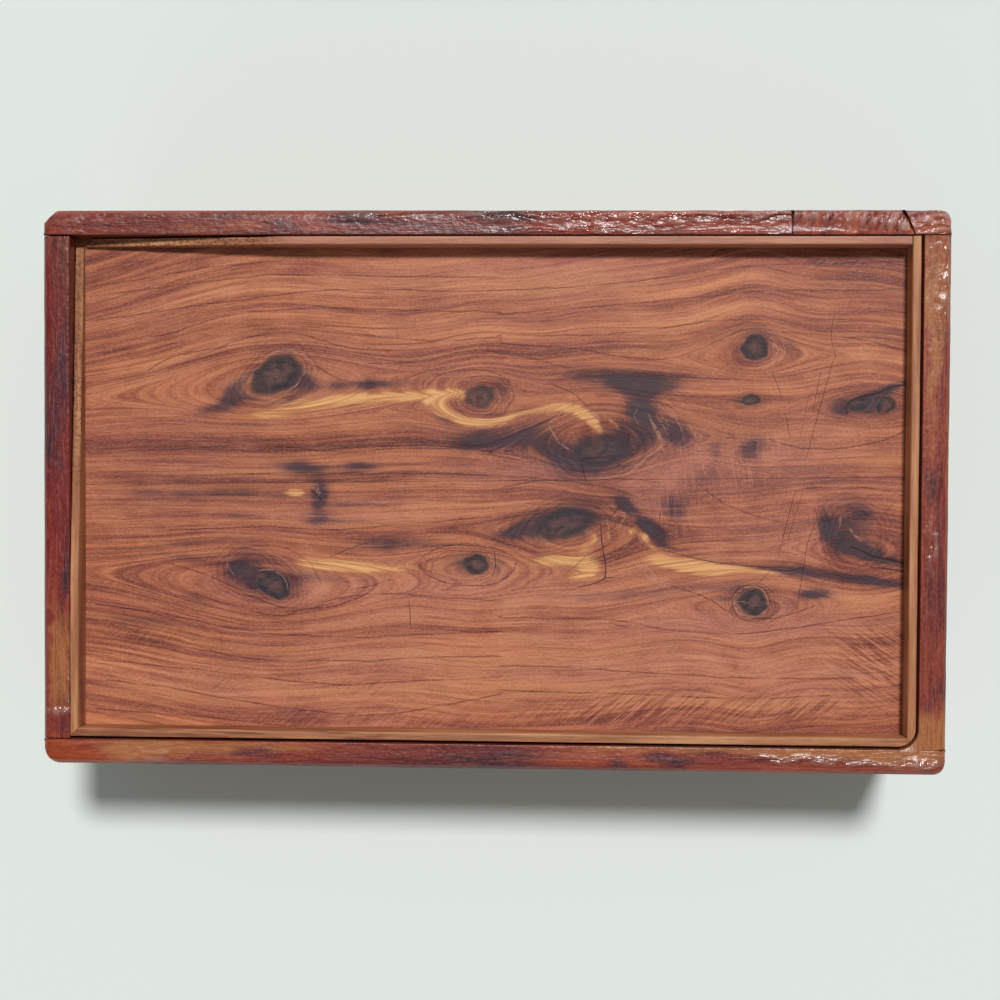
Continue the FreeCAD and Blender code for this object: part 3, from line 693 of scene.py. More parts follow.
# ---- the figure of the lid's wood ----
# A stroke is (close-up, (u, v, half width), ...).  A cloud is a soft oval: (close-up, u, v,
# half length, half height, degrees it rises to the right, strength).
# Pale flecks, cracks and scratches.
PALE = [
    (7, (1170, 165, 5), (1178, 215, 5), (1130, 290, 5), (1050, 350, 5)),
    (7, (1120, 120, 7), (1200, 150, 7), (1245, 230, 5)),
    (7, (930, 170, 5), (1020, 110, 5), (1130, 100, 6)), (7, (1418, 122, 7), (1424, 124, 7)),
    (8, (660, 205, 4), (675, 260, 4), (620, 325, 4), (540, 330, 4)),
    (8, (690, 170, 3), (740, 230, 4), (690, 310, 4)),
    (8, (1000, 330, 6), (945, 380, 7), (960, 440, 7), (1010, 500, 6), (1060, 535, 5)),
    (8, (1140, 310, 6), (1190, 345, 7), (1200, 380, 4)),
    (8, (1455, 345, 6), (1500, 430, 7), (1535, 520, 6)),
    (8, (1400, 300, 3), (1380, 340, 3), (1400, 390, 3)),
    (8, (1530, 500, 7), (1440, 570, 9), (1350, 640, 8), (1180, 680, 4)),
    (8, (1500, 350, 4), (1560, 440, 5)), (9, (1222, 25, 5), (1238, 70, 5)),
    (9, (1250, 25, 5), (1252, 60, 5)), (9, (800, 395, 5), (770, 440, 5), (800, 490, 4)),
    (9, (1000, 385, 5), (1080, 420, 5), (1130, 480, 4)),
    (9, (930, 470, 5), (1010, 470, 5), (1070, 520, 5), (1085, 570, 4)),
    (10, (635, 400, 4), (645, 450, 5), (620, 500, 5), (560, 525, 5)),
    (10, (1260, 200, 4), (1300, 170, 6), (1330, 180, 4), (1300, 250, 4)),
    (10, (1230, 130, 4), (1290, 140, 5)), (10, (1240, 210, 4), (1250, 290, 4)),
    (10, (1340, 345, 4), (1360, 310, 4)), (10, (1400, 300, 4), (1420, 330, 4)),
    (10, (1380, 420, 4), (1440, 500, 4), (1540, 560, 4)),
    (10, (1420, 420, 4), (1490, 500, 4), (1568, 540, 4)),
    (11, (705, 135, 6), (745, 170, 8), (765, 230, 8), (740, 280, 5)),
    (11, (790, 160, 3), (815, 215, 4), (790, 280, 3)), (11, (45, 590, 5), (90, 660, 6), (135, 745, 5)),
    (11, (275, 640, 5), (315, 720, 7), (345, 830, 6), (370, 930, 5)),
    (11, (190, 590, 4), (215, 640, 4), (240, 690, 3)), (11, (130, 600, 4), (160, 650, 3)),
    (11, (545, 765, 5), (560, 850, 6), (555, 935, 5)), (11, (505, 800, 4), (520, 920, 4)),
    (11, (660, 730, 4), (650, 790, 4)), (11, (690, 800, 3), (680, 880, 3)),
    (11, (1380, 145, 3), (1490, 150, 4)),
    (12, (625, 592, 5), (700, 625, 6), (722, 690, 6), (695, 745, 6), (625, 772, 6)),
    (12, (625, 592, 5), (550, 625, 6), (525, 690, 6), (555, 745, 6), (625, 772, 6)),
    (12, (505, 688, 3), (590, 680, 4)), (12, (0, 420, 4), (60, 500, 4), (160, 560, 4)),
    (12, (0, 460, 3), (50, 530, 4), (150, 590, 3)), (12, (1390, 485, 3), (1490, 497, 4)),
    (12, (1120, 210, 5), (1115, 260, 5)), (12, (1180, 280, 9), (1230, 330, 9)),
]
CRACKS = [
    (8, (1225, 557, 1.6), (1115, 576, 2.4), (1110, 612, 2.4), (1128, 682, 2.2)),
    (8, (1352, 440, 2), (1348, 492, 1.6)), (8, (712, 528, 4), (728, 530, 4)),
    (8, (960, 185, 1.8), (1060, 225, 1.8), (1130, 290, 2)),
    (9, (1310, 402, 1.6), (1430, 350, 1.6), (1530, 322, 1.6)), (9, (1215, 60, 3.5), (1255, 100, 5)),
    (10, (1205, 235, 2), (1212, 330, 3.4), (1228, 430, 3), (1228, 505, 3.4), (1190, 535, 3),
     (1090, 562, 2)),
    (10, (1228, 508, 1.8), (1280, 512, 1.4)), (10, (1300, 140, 1.8), (1262, 195, 1.8)),
    (10, (1225, 350, 2), (1180, 372, 1.6), (1150, 385, 1.6)), (10, (1060, 462, 1.4), (1130, 395, 1.6)),
    (10, (650, 380, 2), (655, 440, 2), (640, 500, 1.6)),
    (10, (205, 635, 1.6), (210, 700, 2.2), (210, 760, 2)), (10, (1285, 758, 1.8), (1340, 768, 1.8)),
    (11, (470, 500, 1.4), (560, 510, 2)),
    (11, (1160, 580, 4), (1158, 540, 5), (1210, 498, 7), (1330, 470, 7), (1420, 432, 6), (1500, 418, 5)),
    (11, (1330, 545, 3), (1350, 585, 3), (1410, 550, 3), (1425, 515, 3)),
    (12, (130, 392, 2), (350, 448, 2.2), (560, 478, 1.6), (720, 492, 2.4), (800, 510, 3.4),
     (900, 500, 3)),
    (12, (560, 600, 1.8), (622, 590, 2), (690, 610, 2), (725, 680, 2.2), (715, 740, 1.8)),
    (12, (560, 600, 1.8), (520, 650, 2), (518, 700, 2), (545, 755, 1.8)),
    (12, (1190, 378, 4), (1240, 400, 6), (1300, 430, 8), (1400, 450, 8), (1495, 470, 7)),
    (12, (1495, 520, 4), (1400, 500, 4), (1290, 490, 3)),
]
SCRATCHES = [
    (11, (1085, 40, 1.3), (1072, 150, 1.3), (1095, 260, 1.3)),
    (11, (1080, 290, 1.4), (1040, 430, 1.6), (1005, 560, 1.6), (930, 830, 1.2)),
    (11, (1010, 350, 1.2), (970, 560, 1.4)), (11, (740, 350, 1.2), (770, 420, 1.6), (790, 485, 1.2)),
    (11, (815, 580, 1.3), (830, 660, 1.6), (840, 705, 1.2)), (11, (945, 480, 1), (900, 700, 1)),
    (12, (870, 60, 1.2), (820, 250, 1.8), (780, 410, 1.2)),
    (12, (990, 225, 1.3), (940, 350, 1.6), (915, 500, 1.6), (890, 640, 1.6), (882, 720, 1.2)),
    (12, (905, 80, 1), (830, 330, 1)), (12, (1025, 150, 1), (1060, 240, 1.2)),
    (12, (980, 160, 1), (1040, 420, 1)), (12, (730, 510, 1.2), (650, 590, 1.2)),
    (12, (1370, 185, 1.2), (1430, 120, 1.2)), (12, (120, 160, 1.6), (105, 240, 1.4)),
    (12, (310, 60, 1.2), (320, 150, 1.2)), (8, (1115, 690, 0.9), (1300, 672, 0.9), (1500, 690, 0.9)),
]
# The boldest grain lines, without half widths.
LINES = [
    (2, (40, 300), (150, 285), (300, 262), (450, 240), (600, 222), (750, 200), (900, 187), (1100, 183),
     (1350, 190), (1554, 188)),
    (2, (40, 208), (300, 175), (520, 150), (700, 130), (900, 128), (1150, 135), (1554, 140)),
    (2, (60, 392), (200, 365), (330, 345), (450, 305), (600, 270), (800, 255), (1000, 255), (1300, 262),
     (1554, 265)),
    (2, (250, 480), (350, 430), (500, 400), (620, 360), (700, 345), (800, 345), (900, 375), (1000, 400),
     (1150, 410)),
    (2, (60, 170), (250, 140), (450, 105), (600, 90), (750, 75)),
    (2, (820, 322), (920, 330), (1050, 350), (1300, 372), (1554, 360)),
    (2, (880, 470), (950, 510), (1020, 528), (1150, 522), (1300, 480), (1450, 440)),
    (3, (0, 187), (200, 178), (400, 162), (600, 140), (800, 108), (1000, 92), (1300, 85), (1500, 80)),
    (3, (0, 275), (300, 250), (500, 235), (700, 215), (850, 200), (1000, 187), (1300, 187), (1510, 180)),
    (3, (0, 350), (200, 352), (450, 345), (650, 318), (800, 300), (950, 290)),
    (3, (0, 382), (250, 400), (450, 430), (600, 442), (700, 415), (800, 375), (900, 330)),
    (3, (1050, 340), (1200, 352), (1350, 370), (1500, 410)),
    (4, (60, 293), (250, 312), (400, 330), (600, 352), (800, 375), (1000, 388), (1200, 375),
     (1554, 358)),
    (4, (100, 370), (300, 395), (500, 430), (700, 465), (900, 490), (1100, 500), (1300, 470),
     (1554, 425)),
    (4, (60, 475), (250, 490), (450, 505), (650, 530), (800, 545), (1000, 555)),
    (4, (230, 225), (400, 250), (600, 285), (750, 298), (900, 300), (1100, 298), (1300, 285),
     (1554, 282)),
    (4, (430, 50), (550, 95), (650, 120), (750, 128), (850, 105), (950, 70), (1100, 50), (1300, 62),
     (1554, 78)),
    (4, (60, 90), (250, 115), (430, 150), (600, 185), (700, 200), (850, 205), (1050, 212), (1300, 200),
     (1554, 190)),
    (4, (1000, 40), (1150, 0)),
    (5, (0, 130), (200, 135), (400, 140), (600, 175), (800, 190), (1000, 170), (1200, 140), (1400, 112)),
    (5, (0, 385), (250, 395), (500, 400), (700, 410), (900, 415), (1150, 405)),
    (5, (0, 300), (300, 310), (600, 330), (900, 345), (1250, 345)),
    (5, (600, 20), (720, 60), (800, 110), (900, 135), (1000, 125), (1100, 90)),
    (1, (0, 360), (250, 345), (500, 365), (700, 355), (900, 360), (1100, 385)),
    (1, (0, 440), (300, 428), (600, 430), (900, 432), (1100, 445)),
    (1, (0, 600), (300, 590), (480, 600), (620, 590), (800, 575), (960, 560)),
    (1, (150, 690), (220, 655), (330, 650), (420, 700), (450, 760)),
    (1, (0, 700), (120, 740), (250, 800), (350, 835), (480, 830), (600, 790)),
    (1, (740, 700), (800, 655), (900, 640), (1000, 665), (1040, 700), (980, 760), (880, 765),
     (790, 745), (740, 700)),
    (1, (760, 190), (800, 140), (880, 120), (980, 130), (1030, 180), (1010, 240), (950, 262),
     (860, 240)),
    (1, (600, 100), (760, 95), (900, 60), (1050, 80), (1200, 115)),
    (1, (1000, 470), (1150, 450), (1300, 470), (1400, 500)),
    (6, (260, 430), (330, 475), (440, 520), (540, 545)),
    (6, (500, 230), (620, 262), (760, 262), (900, 240), (1010, 200)),
    (6, (640, 415), (760, 410), (900, 420), (1010, 440)),
]
# Golden sapwood, and pinker and lighter wood.
GOLD = [
    (1, 300, 250, 90, 18, 8, 0.95), (1, 430, 224, 120, 26, 8, 0.95), (1, 560, 208, 130, 22, 4, 0.62),
    (1, 700, 200, 120, 20, 3, 0.66), (1, 820, 196, 90, 24, 0, 0.7), (1, 480, 212, 160, 9, 5, 0.3),
    (1, 740, 194, 130, 9, 2, 0.35), (1, 870, 190, 34, 30, 0, 0.6), (1, 850, 252, 64, 20, -25, 0.85),
    (1, 930, 278, 70, 16, 0, 0.9), (1, 1015, 258, 60, 20, 20, 0.8), (1, 800, 230, 44, 24, -35, 0.6),
    (1, 1110, 240, 55, 18, 10, 0.9), (1, 1190, 236, 50, 19, -8, 1), (1, 1245, 255, 40, 19, -35, 1.1),
    (1, 1280, 290, 30, 15, -62, 1), (1, 1310, 260, 35, 7, -50, 0.6), (1, 1342, 290, 30, 6, -50, 0.5),
    (1, 1350, 203, 45, 6, 6, 0.5), (1, 378, 486, 28, 13, 0, 1), (1, 320, 488, 60, 10, 0, 0.45),
    (1, 520, 580, 50, 9, 0, 0.25), (1, 470, 703, 120, 24, 0, 0.8), (1, 560, 712, 120, 20, -2, 0.6),
    (1, 680, 713, 90, 18, 0, 0.5), (1, 560, 716, 130, 7, -2, 0.25), (1, 150, 660, 60, 9, 0, 0.4),
    (1, 400, 690, 40, 14, -20, 0.4), (1, 1130, 692, 60, 20, 6, 0.95), (1, 1190, 690, 50, 24, 10, 0.75),
    (1, 1250, 660, 34, 34, 40, 0.6), (1, 1278, 620, 16, 34, 0, 0.55), (1, 1260, 722, 42, 30, 0, 1.1),
    (1, 1215, 742, 40, 18, 20, 0.6), (1, 1150, 605, 60, 11, 35, 0.4), (1, 1318, 615, 10, 26, 0, 0.7),
    (1, 1388, 600, 24, 14, 20, 0.9), (1, 1412, 614, 20, 12, 0, 0.6), (1, 1440, 692, 60, 26, -10, 0.45),
    (6, 90, 690, 60, 20, -14, 0.6), (6, 180, 708, 120, 28, -8, 1.05), (6, 270, 728, 100, 26, -4, 1.2),
    (6, 400, 728, 90, 15, -6, 0.75), (6, 510, 738, 80, 9, -8, 0.55), (6, 20, 610, 26, 15, -40, 0.8),
    (6, 50, 640, 40, 13, -35, 0.6), (6, 950, 300, 90, 80, 10, 0.38), (6, 640, 300, 60, 30, 0, 0.12),
]
BLUSH = [
    (1, 1100, 430, 360, 44, 0, 0.8), (1, 500, 540, 500, 50, 0, 0.35), (1, 1000, 770, 520, 60, 0, 0.7),
    (1, 300, 800, 300, 40, 0, 0.35), (1, 1440, 500, 70, 70, 0, 0.7), (6, 200, 320, 180, 130, 0, 0.9),
    (6, 600, 300, 220, 170, 0, 0.8), (6, 500, 590, 280, 90, 0, 0.6), (6, 300, 930, 330, 70, 0, 0.7),
    (6, 800, 900, 240, 60, 0, 0.4), (5, 500, 320, 500, 90, 0, 0.8), (5, 600, 160, 500, 50, 0, 0.5),
    (4, 1050, 300, 400, 80, 0, 0.7), (4, 500, 420, 400, 60, -6, 0.4), (2, 1300, 100, 400, 60, 0, 0.6),
    (3, 300, 120, 300, 60, 0, 0.5), (5, 1150, 350, 300, 90, 0, 0.5), (4, 1050, 480, 300, 60, 0, 0.5),
]
# Dark heartwood stains.
CLOUDS = [
    (1, 150, 230, 95, 20, 16, 0.75), (1, 400, 150, 34, 46, 60, 0.6), (1, 350, 212, 60, 14, 22, 0.6),
    (1, 205, 170, 62, 20, 48, 0.4), (1, 580, 164, 190, 16, 2, 0.8), (1, 250, 288, 180, 8, -2, 0.35),
    (1, 720, 290, 110, 9, -9, 0.3), (1, 1000, 185, 28, 34, 0, 0.5), (1, 830, 270, 46, 20, -20, 0.5),
    (1, 905, 333, 110, 26, -2, 0.5), (1, 1010, 315, 110, 40, 8, 0.65), (1, 1095, 300, 60, 40, 30, 0.55),
    (1, 1240, 382, 135, 52, 0, 0.9), (1, 1365, 320, 45, 60, 0, 0.75), (1, 1405, 250, 60, 30, -60, 0.5),
    (1, 1370, 160, 135, 40, -6, 0.8), (1, 1500, 148, 90, 34, 8, 0.4), (1, 1240, 128, 60, 14, 0, 0.3),
    (1, 1520, 322, 60, 22, 0, 0.35), (1, 400, 414, 80, 20, -5, 0.95), (1, 572, 410, 54, 15, 0, 0.9),
    (1, 447, 498, 26, 40, 0, 1.2), (1, 445, 560, 50, 28, 0, 0.6), (1, 150, 490, 214, 14, 0, 0.5),
    (1, 560, 525, 130, 9, 0, 0.35), (1, 220, 556, 60, 9, 0, 0.5), (1, 560, 575, 210, 9, 0, 0.3),
    (1, 655, 642, 140, 26, 3, 0.85), (1, 40, 640, 120, 9, 5, 0.45), (1, 60, 684, 110, 12, -10, 0.5),
    (1, 190, 720, 36, 50, 0, 0.3), (1, 260, 765, 70, 40, -20, 0.55), (1, 380, 765, 44, 46, 30, 0.5),
    (1, 470, 745, 150, 14, -4, 0.4), (1, 880, 700, 56, 38, 0, 0.45), (1, 988, 712, 18, 36, 0, 0.6),
    (1, 1060, 600, 85, 28, 16, 0.7), (1, 1190, 560, 115, 58, 12, 0.75), (1, 1000, 612, 60, 14, 0, 0.45),
    (1, 1360, 520, 44, 26, -45, 0.85), (1, 1435, 592, 64, 20, -40, 0.85),
    (1, 1250, 800, 160, 16, 4, 0.35), (1, 1430, 790, 130, 20, 0, 0.35), (1, 1510, 652, 80, 7, -10, 0.5),
    (6, 425, 75, 46, 18, 0, 0.6), (6, 130, 200, 90, 56, -10, 0.95), (6, 20, 120, 60, 50, 0, 0.6),
    (6, 430, 262, 66, 46, 20, 0.8), (6, 290, 275, 30, 60, 0, 0.5), (6, 720, 180, 60, 34, 40, 0.25),
    (6, 780, 100, 54, 36, 10, 1), (6, 885, 92, 54, 40, 20, 1.1), (6, 935, 42, 110, 12, 24, 0.95),
    (6, 790, 545, 90, 84, 0, 0.7), (6, 712, 560, 26, 60, 0, 0.9), (6, 820, 640, 100, 44, -18, 0.7),
    (6, 950, 690, 110, 22, -16, 0.9), (6, 850, 500, 54, 36, -40, 0.35), (6, 60, 585, 50, 28, -35, 0.75),
    (6, 330, 700, 180, 9, -8, 0.4), (6, 570, 728, 120, 22, -5, 0.8), (6, 700, 748, 120, 24, -4, 0.8),
    (6, 910, 775, 140, 20, -7, 0.75), (6, 680, 820, 66, 20, 0, 0.7), (6, 430, 850, 96, 60, 0, 0.55),
    (6, 300, 790, 200, 30, -4, 0.3), (6, 565, 862, 50, 34, 0, 0.3), (6, 320, 842, 40, 12, 0, 0.4),
    (6, 250, 800, 190, 12, -3, 0.25), (6, 130, 490, 60, 60, 0, 0.8), (6, 240, 390, 60, 50, 0, 0.3),
    (1, 450, 450, 560, 120, 0, 0.2), (1, 0, 480, 240, 150, 0, 0.2), (6, 950, 922, 80, 8, 5, 0.45),
    (3, 970, 350, 70, 30, -20, 0.45), (3, 1070, 400, 40, 50, 0, 0.35), (3, 1450, 340, 70, 12, 0, 0.4),
    (3, 120, 470, 150, 10, 0, 0.3), (2, 700, 345, 110, 9, 4, 0.45), (2, 430, 430, 120, 12, 26, 0.3),
    (2, 330, 350, 70, 7, 14, 0.4), (2, 560, 560, 40, 60, 40, 0.4), (4, 230, 150, 170, 20, -4, 0.5),
    (4, 560, 178, 80, 9, -3, 0.45), (4, 430, 60, 90, 14, -22, 0.35), (5, 1100, 50, 60, 20, 0, 0.7),
    (5, 1320, 10, 130, 16, -4, 0.6), (1, 1180, 372, 80, 40, -25, 0.6), (1, 1275, 398, 80, 30, 4, 0.7),
    (1, 1310, 345, 60, 44, 0, 0.5), (1, 320, 140, 100, 62, 33, 0.55), (1, 280, 740, 80, 44, -28, 0.5),
    (1, 920, 700, 52, 34, 0, 0.4), (1, 1170, 580, 110, 46, 10, 0.5), (1, 935, 200, 60, 44, 6, 0.3),
    (1, 1380, 150, 110, 26, -4, 0.5), (1, 1370, 520, 30, 20, -50, 0.4), (1, 215, 725, 50, 46, 0, 0.5),
    (1, 300, 690, 90, 18, -20, 0.35), (1, 1000, 330, 150, 30, 0, 0.3), (1, 1420, 260, 40, 80, 0, 0.4),
    (1, 900, 342, 90, 24, 0, 0.15), (1, 1430, 590, 50, 16, -45, 0.5), (6, 30, 230, 30, 60, 0, 0.6),
    (6, 60, 580, 40, 24, -35, 0.5), (6, 850, 660, 80, 24, -20, 0.5), (6, 760, 600, 30, 60, 10, 0.4),
    (6, 930, 60, 80, 26, 18, 0.5), (5, 430, 160, 50, 6, 0, 0.5), (5, 200, 210, 180, 12, 3, 0.25),
    (5, 1200, 330, 200, 12, 2, 0.25),
]
# Broad shifts of tone: above 0 lighter and more orange, below 0 darker and redder.
TONES = [
    (2, 1300, 110, 420, 60, 3, 0.7), (2, 500, 150, 300, 26, 10, 0.5), (2, 200, 500, 230, 40, 20, 0.35),
    (3, 250, 150, 330, 60, 6, 0.6), (3, 1100, 240, 420, 22, 4, 0.5), (3, 600, 370, 230, 40, 4, 0.45),
    (2, 300, 60, 330, 20, 6, 0.3), (2, 200, 400, 260, 30, 12, -0.35), (2, 1000, 400, 330, 40, 0, -0.2),
    (3, 1220, 200, 360, 110, 4, -0.9), (1, 0, 370, 260, 70, 0, -0.5), (4, 1500, 330, 500, 170, 0, 0.5),
    (1, 400, 330, 400, 26, 2, -0.35), (1, 200, 430, 330, 20, 0, 0.25), (1, 800, 620, 260, 18, 0, 0.2),
    (4, 500, 60, 330, 30, -6, -0.25), (4, 1000, 270, 380, 16, 0, 0.6), (4, 900, 420, 480, 22, -6, 0.6),
    (4, 250, 420, 300, 40, -5, 0.6), (4, 150, 560, 340, 60, -4, 1.2), (4, 900, 330, 420, 22, -4, -0.4),
    (4, 1100, 190, 420, 14, 0, -0.2), (5, 300, 390, 520, 26, -3, 0.55), (5, 350, 250, 330, 26, 4, 0.45),
    (5, 600, 190, 500, 20, 3, -0.35), (5, 500, 330, 500, 22, 0, -0.3), (5, 1150, 110, 260, 30, 0, 0.3),
    (5, 1100, 440, 330, 26, 0, 0.35), (6, 900, 320, 180, 50, 0, 0.5), (6, 640, 480, 220, 130, 0, -0.2),
    (6, 840, 860, 200, 40, -5, 0.35), (6, 300, 440, 160, 60, 0, -0.3), (3, 1350, 420, 160, 50, 0, 0.3),
]
# Spots of torn grain, and of saw marks that rise or fall to the right.
TORN = [
    (6, 70, 200, 60, 80, 0, 0.7), (6, 160, 260, 70, 70, 0, 0.8), (6, 400, 300, 90, 90, 0, 0.9),
    (6, 260, 400, 130, 60, 0, 0.5), (6, 130, 480, 60, 80, 0, 0.8), (6, 500, 240, 60, 60, 0, 0.5),
    (6, 620, 560, 170, 120, 0, 0.35), (6, 830, 230, 150, 70, 0, 0.3), (6, 800, 560, 90, 90, 0, 0.5),
    (6, 700, 860, 140, 50, 0, 0.3), (1, 1500, 560, 80, 70, 0, 0.6), (1, 60, 475, 110, 10, 0, 0.5),
]
RISING = [
    (5, 300, 480, 260, 26, 0, 0.5), (5, 560, 450, 330, 56, 0, 1.1), (5, 1080, 430, 160, 40, 0, 0.5),
    (5, 1060, 460, 200, 44, 0, 0.6), (4, 230, 190, 150, 50, 0, 0.5), (4, 520, 390, 70, 50, 0, 0.5),
    (4, 1100, 520, 520, 36, 0, 0.6), (4, 1080, 400, 90, 40, 0, 0.4), (3, 1250, 90, 200, 20, 0, 0.4),
    (6, 20, 310, 60, 40, 0, 0.5),
]
FALLING = [
    (5, 1300, 300, 150, 120, -30, 1.2), (1, 1490, 250, 60, 90, 0, 0.6), (5, 1340, 190, 120, 40, 0, 0.4),
]
# The clouds that drift with the grain, by the name of their field.
DRIFTING = {
    "blush": BLUSH, "plum": CLOUDS, "tone": TONES, "torn": TORN, "rising": RISING, "falling": FALLING,
}

# (x, y, half length, half height) of the long eyes that the grain parts round.
EYES = [
    (-72.0, 35.5, 34.0, 11.5), (-3.5, 31.0, 17.0, 9.5), (35.0, 17.5, 20.0, 11.0),
    (90.0, 47.0, 16.0, 6.5), (87.4, 31.2, 8.0, 1.8), (127.5, 29.0, 16.0, 5.0),
    (-78.0, -31.0, 36.0, 11.5), (-6.0, -25.8, 19.0, 8.5), (27.0, -13.5, 20.0, 9.5),
    (90.0, -37.0, 15.0, 7.5), (126.0, -17.5, 15.0, 8.5), (62.0, 6.0, 22.0, 5.0),
]

# (x, y, half length, half height, degrees it rises to the right, darkness)
KNOTS = [
    (-74.1, 39.0, 9.7, 6.2, 33, 1.0), (-4.2, 31.8, 5.6, 4.2, 8, 0.7), (36.5, 14.0, 10.5, 6.0, 8, 0.55),
    (88.7, 48.7, 4.8, 4.6, 20, 1.0), (87.4, 31.2, 3.6, 1.8, 3, 0.9), (123.6, 30.0, 4.4, 2.6, 15, 0.6),
    (132.8, 29.7, 3.7, 2.9, 20, 0.7), (-74.9, -32.8, 6.8, 4.6, -28, 1.0),
    (-82.5, -29.0, 8.5, 5.6, -12, 0.35), (-5.2, -25.3, 4.6, 3.6, 0, 1.0),
    (-12.0, -26.6, 7.5, 3.8, 0, 0.25), (24.7, -11.6, 12.5, 5.6, 14, 0.6),
    (89.0, -37.6, 5.2, 4.6, -10, 1.0), (122.9, -14.5, 6.8, 7.6, -20, 0.3),
]




# ---- fields on the lid ----


def apart(px, py, start, end):
    """Distance to a straight run, which side of it, and how far along it from 0 to 1."""
    along_x, along_y = end[0] - start[0], end[1] - start[1]
    length = along_x**2 + along_y**2 + 1e-9
    dx, dy = px - start[0], py - start[1]
    t = np.clip((dx * along_x + dy * along_y) / length, 0, 1)
    side = np.where(along_x * dy - along_y * dx < 0, -1.0, 1.0)
    return np.hypot(dx - t * along_x, dy - t * along_y), side, t


def smooth(table, steps=5):
    """A table's strokes on the Catmull-Rom curves through their points."""
    t = np.linspace(0, 1, steps, endpoint=False)[:, None]
    for close_up, *points in table:
        points = [seen(close_up, *point, digits=2) for point in points]
        p = np.array([points[0], *points, points[-1]])
        runs = [
            b + 0.5 * t * (c - a + t * (2 * a - 5 * b + 4 * c - d + t * (3 * (b - c) + d - a)))
            for a, b, c, d in zip(p, p[1:], p[2:], p[3:])
        ]
        yield np.vstack([*runs, p[-1:]])


def fine_lines(x, y, table, width, margin=2.5):
    """Side and nearness of the nearest line of a table, for lines finer than the mesh.

    The side is the signed distance across the line in half widths, which stays straight
    between vertices, and the nearness is exp(-(d / 0.9)^2), which is low past its ends.
    """
    least, side = np.full(x.shape, 9.0), np.full(x.shape, 9.0)
    for points in smooth(table):
        (low_x, low_y), (high_x, high_y) = points.min(axis=0)[:2], points.max(axis=0)[:2]
        near = (x > low_x - margin) & (x < high_x + margin)
        near &= (y > low_y - margin) & (y < high_y + margin)
        px, py = x[near], y[near]
        best, value = least[near], side[near]
        for start, end in zip(points, points[1:]):
            distance, sign, t = apart(px, py, start, end)
            half = (start[2] + (end[2] - start[2]) * t) * width if len(start) > 2 else width
            value = np.where(distance < best, sign * distance / half, value)
            best = np.minimum(best, distance)
        least[near], side[near] = best, value
    return np.clip(side, -9, 9), np.exp(-((least / 0.9) ** 2))


def in_oval(x, y, cx, cy, half_length, half_height, rise):
    """Places along and across an oval that rises by degrees to the right, 1 at its edge."""
    c, s = math.cos(math.radians(rise)), math.sin(math.radians(rise))
    dx, dy = x - cx, y - cy
    return (dx * c + dy * s) / half_length, (dy * c - dx * s) / half_height


def clouds(x, y, table):
    """The sum of soft ovals s exp(-(u^2 + v^2)), kept between -1 and 1.3."""
    total = np.zeros(x.shape)
    for *shape, rise, strength in table:
        u, v = in_oval(x, y, *seen(*shape), rise)
        total = total + strength * np.exp(-np.minimum(u**2 + v**2, 40))
    return np.clip(total, -1, 1.3)


def knot_reach(x, y, cx, cy, *shape):
    """Distance from a knot's middle, 1 at its edge, with a slightly uneven outline."""
    u, v = in_oval(x, y, cx, cy, *shape)
    around = np.arctan2(v, u)
    return np.hypot(u, v) * (1 + 0.05 * np.sin(3 * around + cx) + 0.03 * np.sin(7 * around + cy))


def part_round(across, along, middle, centre, a, b):
    """Grain that parts round an eye of half length a and half height b.

    With d = across - middle, room = b^2 exp(-((along - centre) / a)^2) and a softness s that
    shrinks as room does, it is middle + sign(d) (sqrt(d^2 - room + s^2) - s) outside the eye
    and middle - 0.9 (sqrt(room - d^2 + s^2) - s) inside it, so its level lines part round
    the eye and close to ovals within it.
    """
    fade = np.exp(-(((along - centre) / a) ** 2))
    d = across - middle
    gap = d**2 - b**2 * fade
    soft = 1.3 * np.sqrt(fade)
    outside = middle + np.sign(d) * (np.sqrt(np.clip(gap, 0, None) + soft**2) - soft)
    inside = middle - 0.9 * (np.sqrt(np.clip(-gap, 0, None) + soft**2) - soft)
    return np.where(gap > 0, outside, inside)


def fan(x, y):
    """Distance from the seam, stretched so that the lines fan out from the left end."""
    off = y - seam(x)
    spread = 1 + np.where(off > 0, 0.28, 0.14) * ease(x, -80, -190)
    rear, front = -0.14 * ease(x, 0, 90) + 0.03 * ease(x, 90, 150), 0.04 * ease(x, 0, 120)
    return off * (spread + np.where(off > 0, rear, front))


def grain(x, y):
    """The coordinate whose level lines are the lid's growth rings, in millimetres."""
    across = fan(x, y) + 0.8 * noise(x / 50, y / 18, seed=31) + 0.3 * noise(x / 16, y / 5, seed=32)
    for cx, cy, a, b in EYES:
        across = part_round(across, x, fan(np.array(cx), np.array(cy)), cx, a, b)
    return across


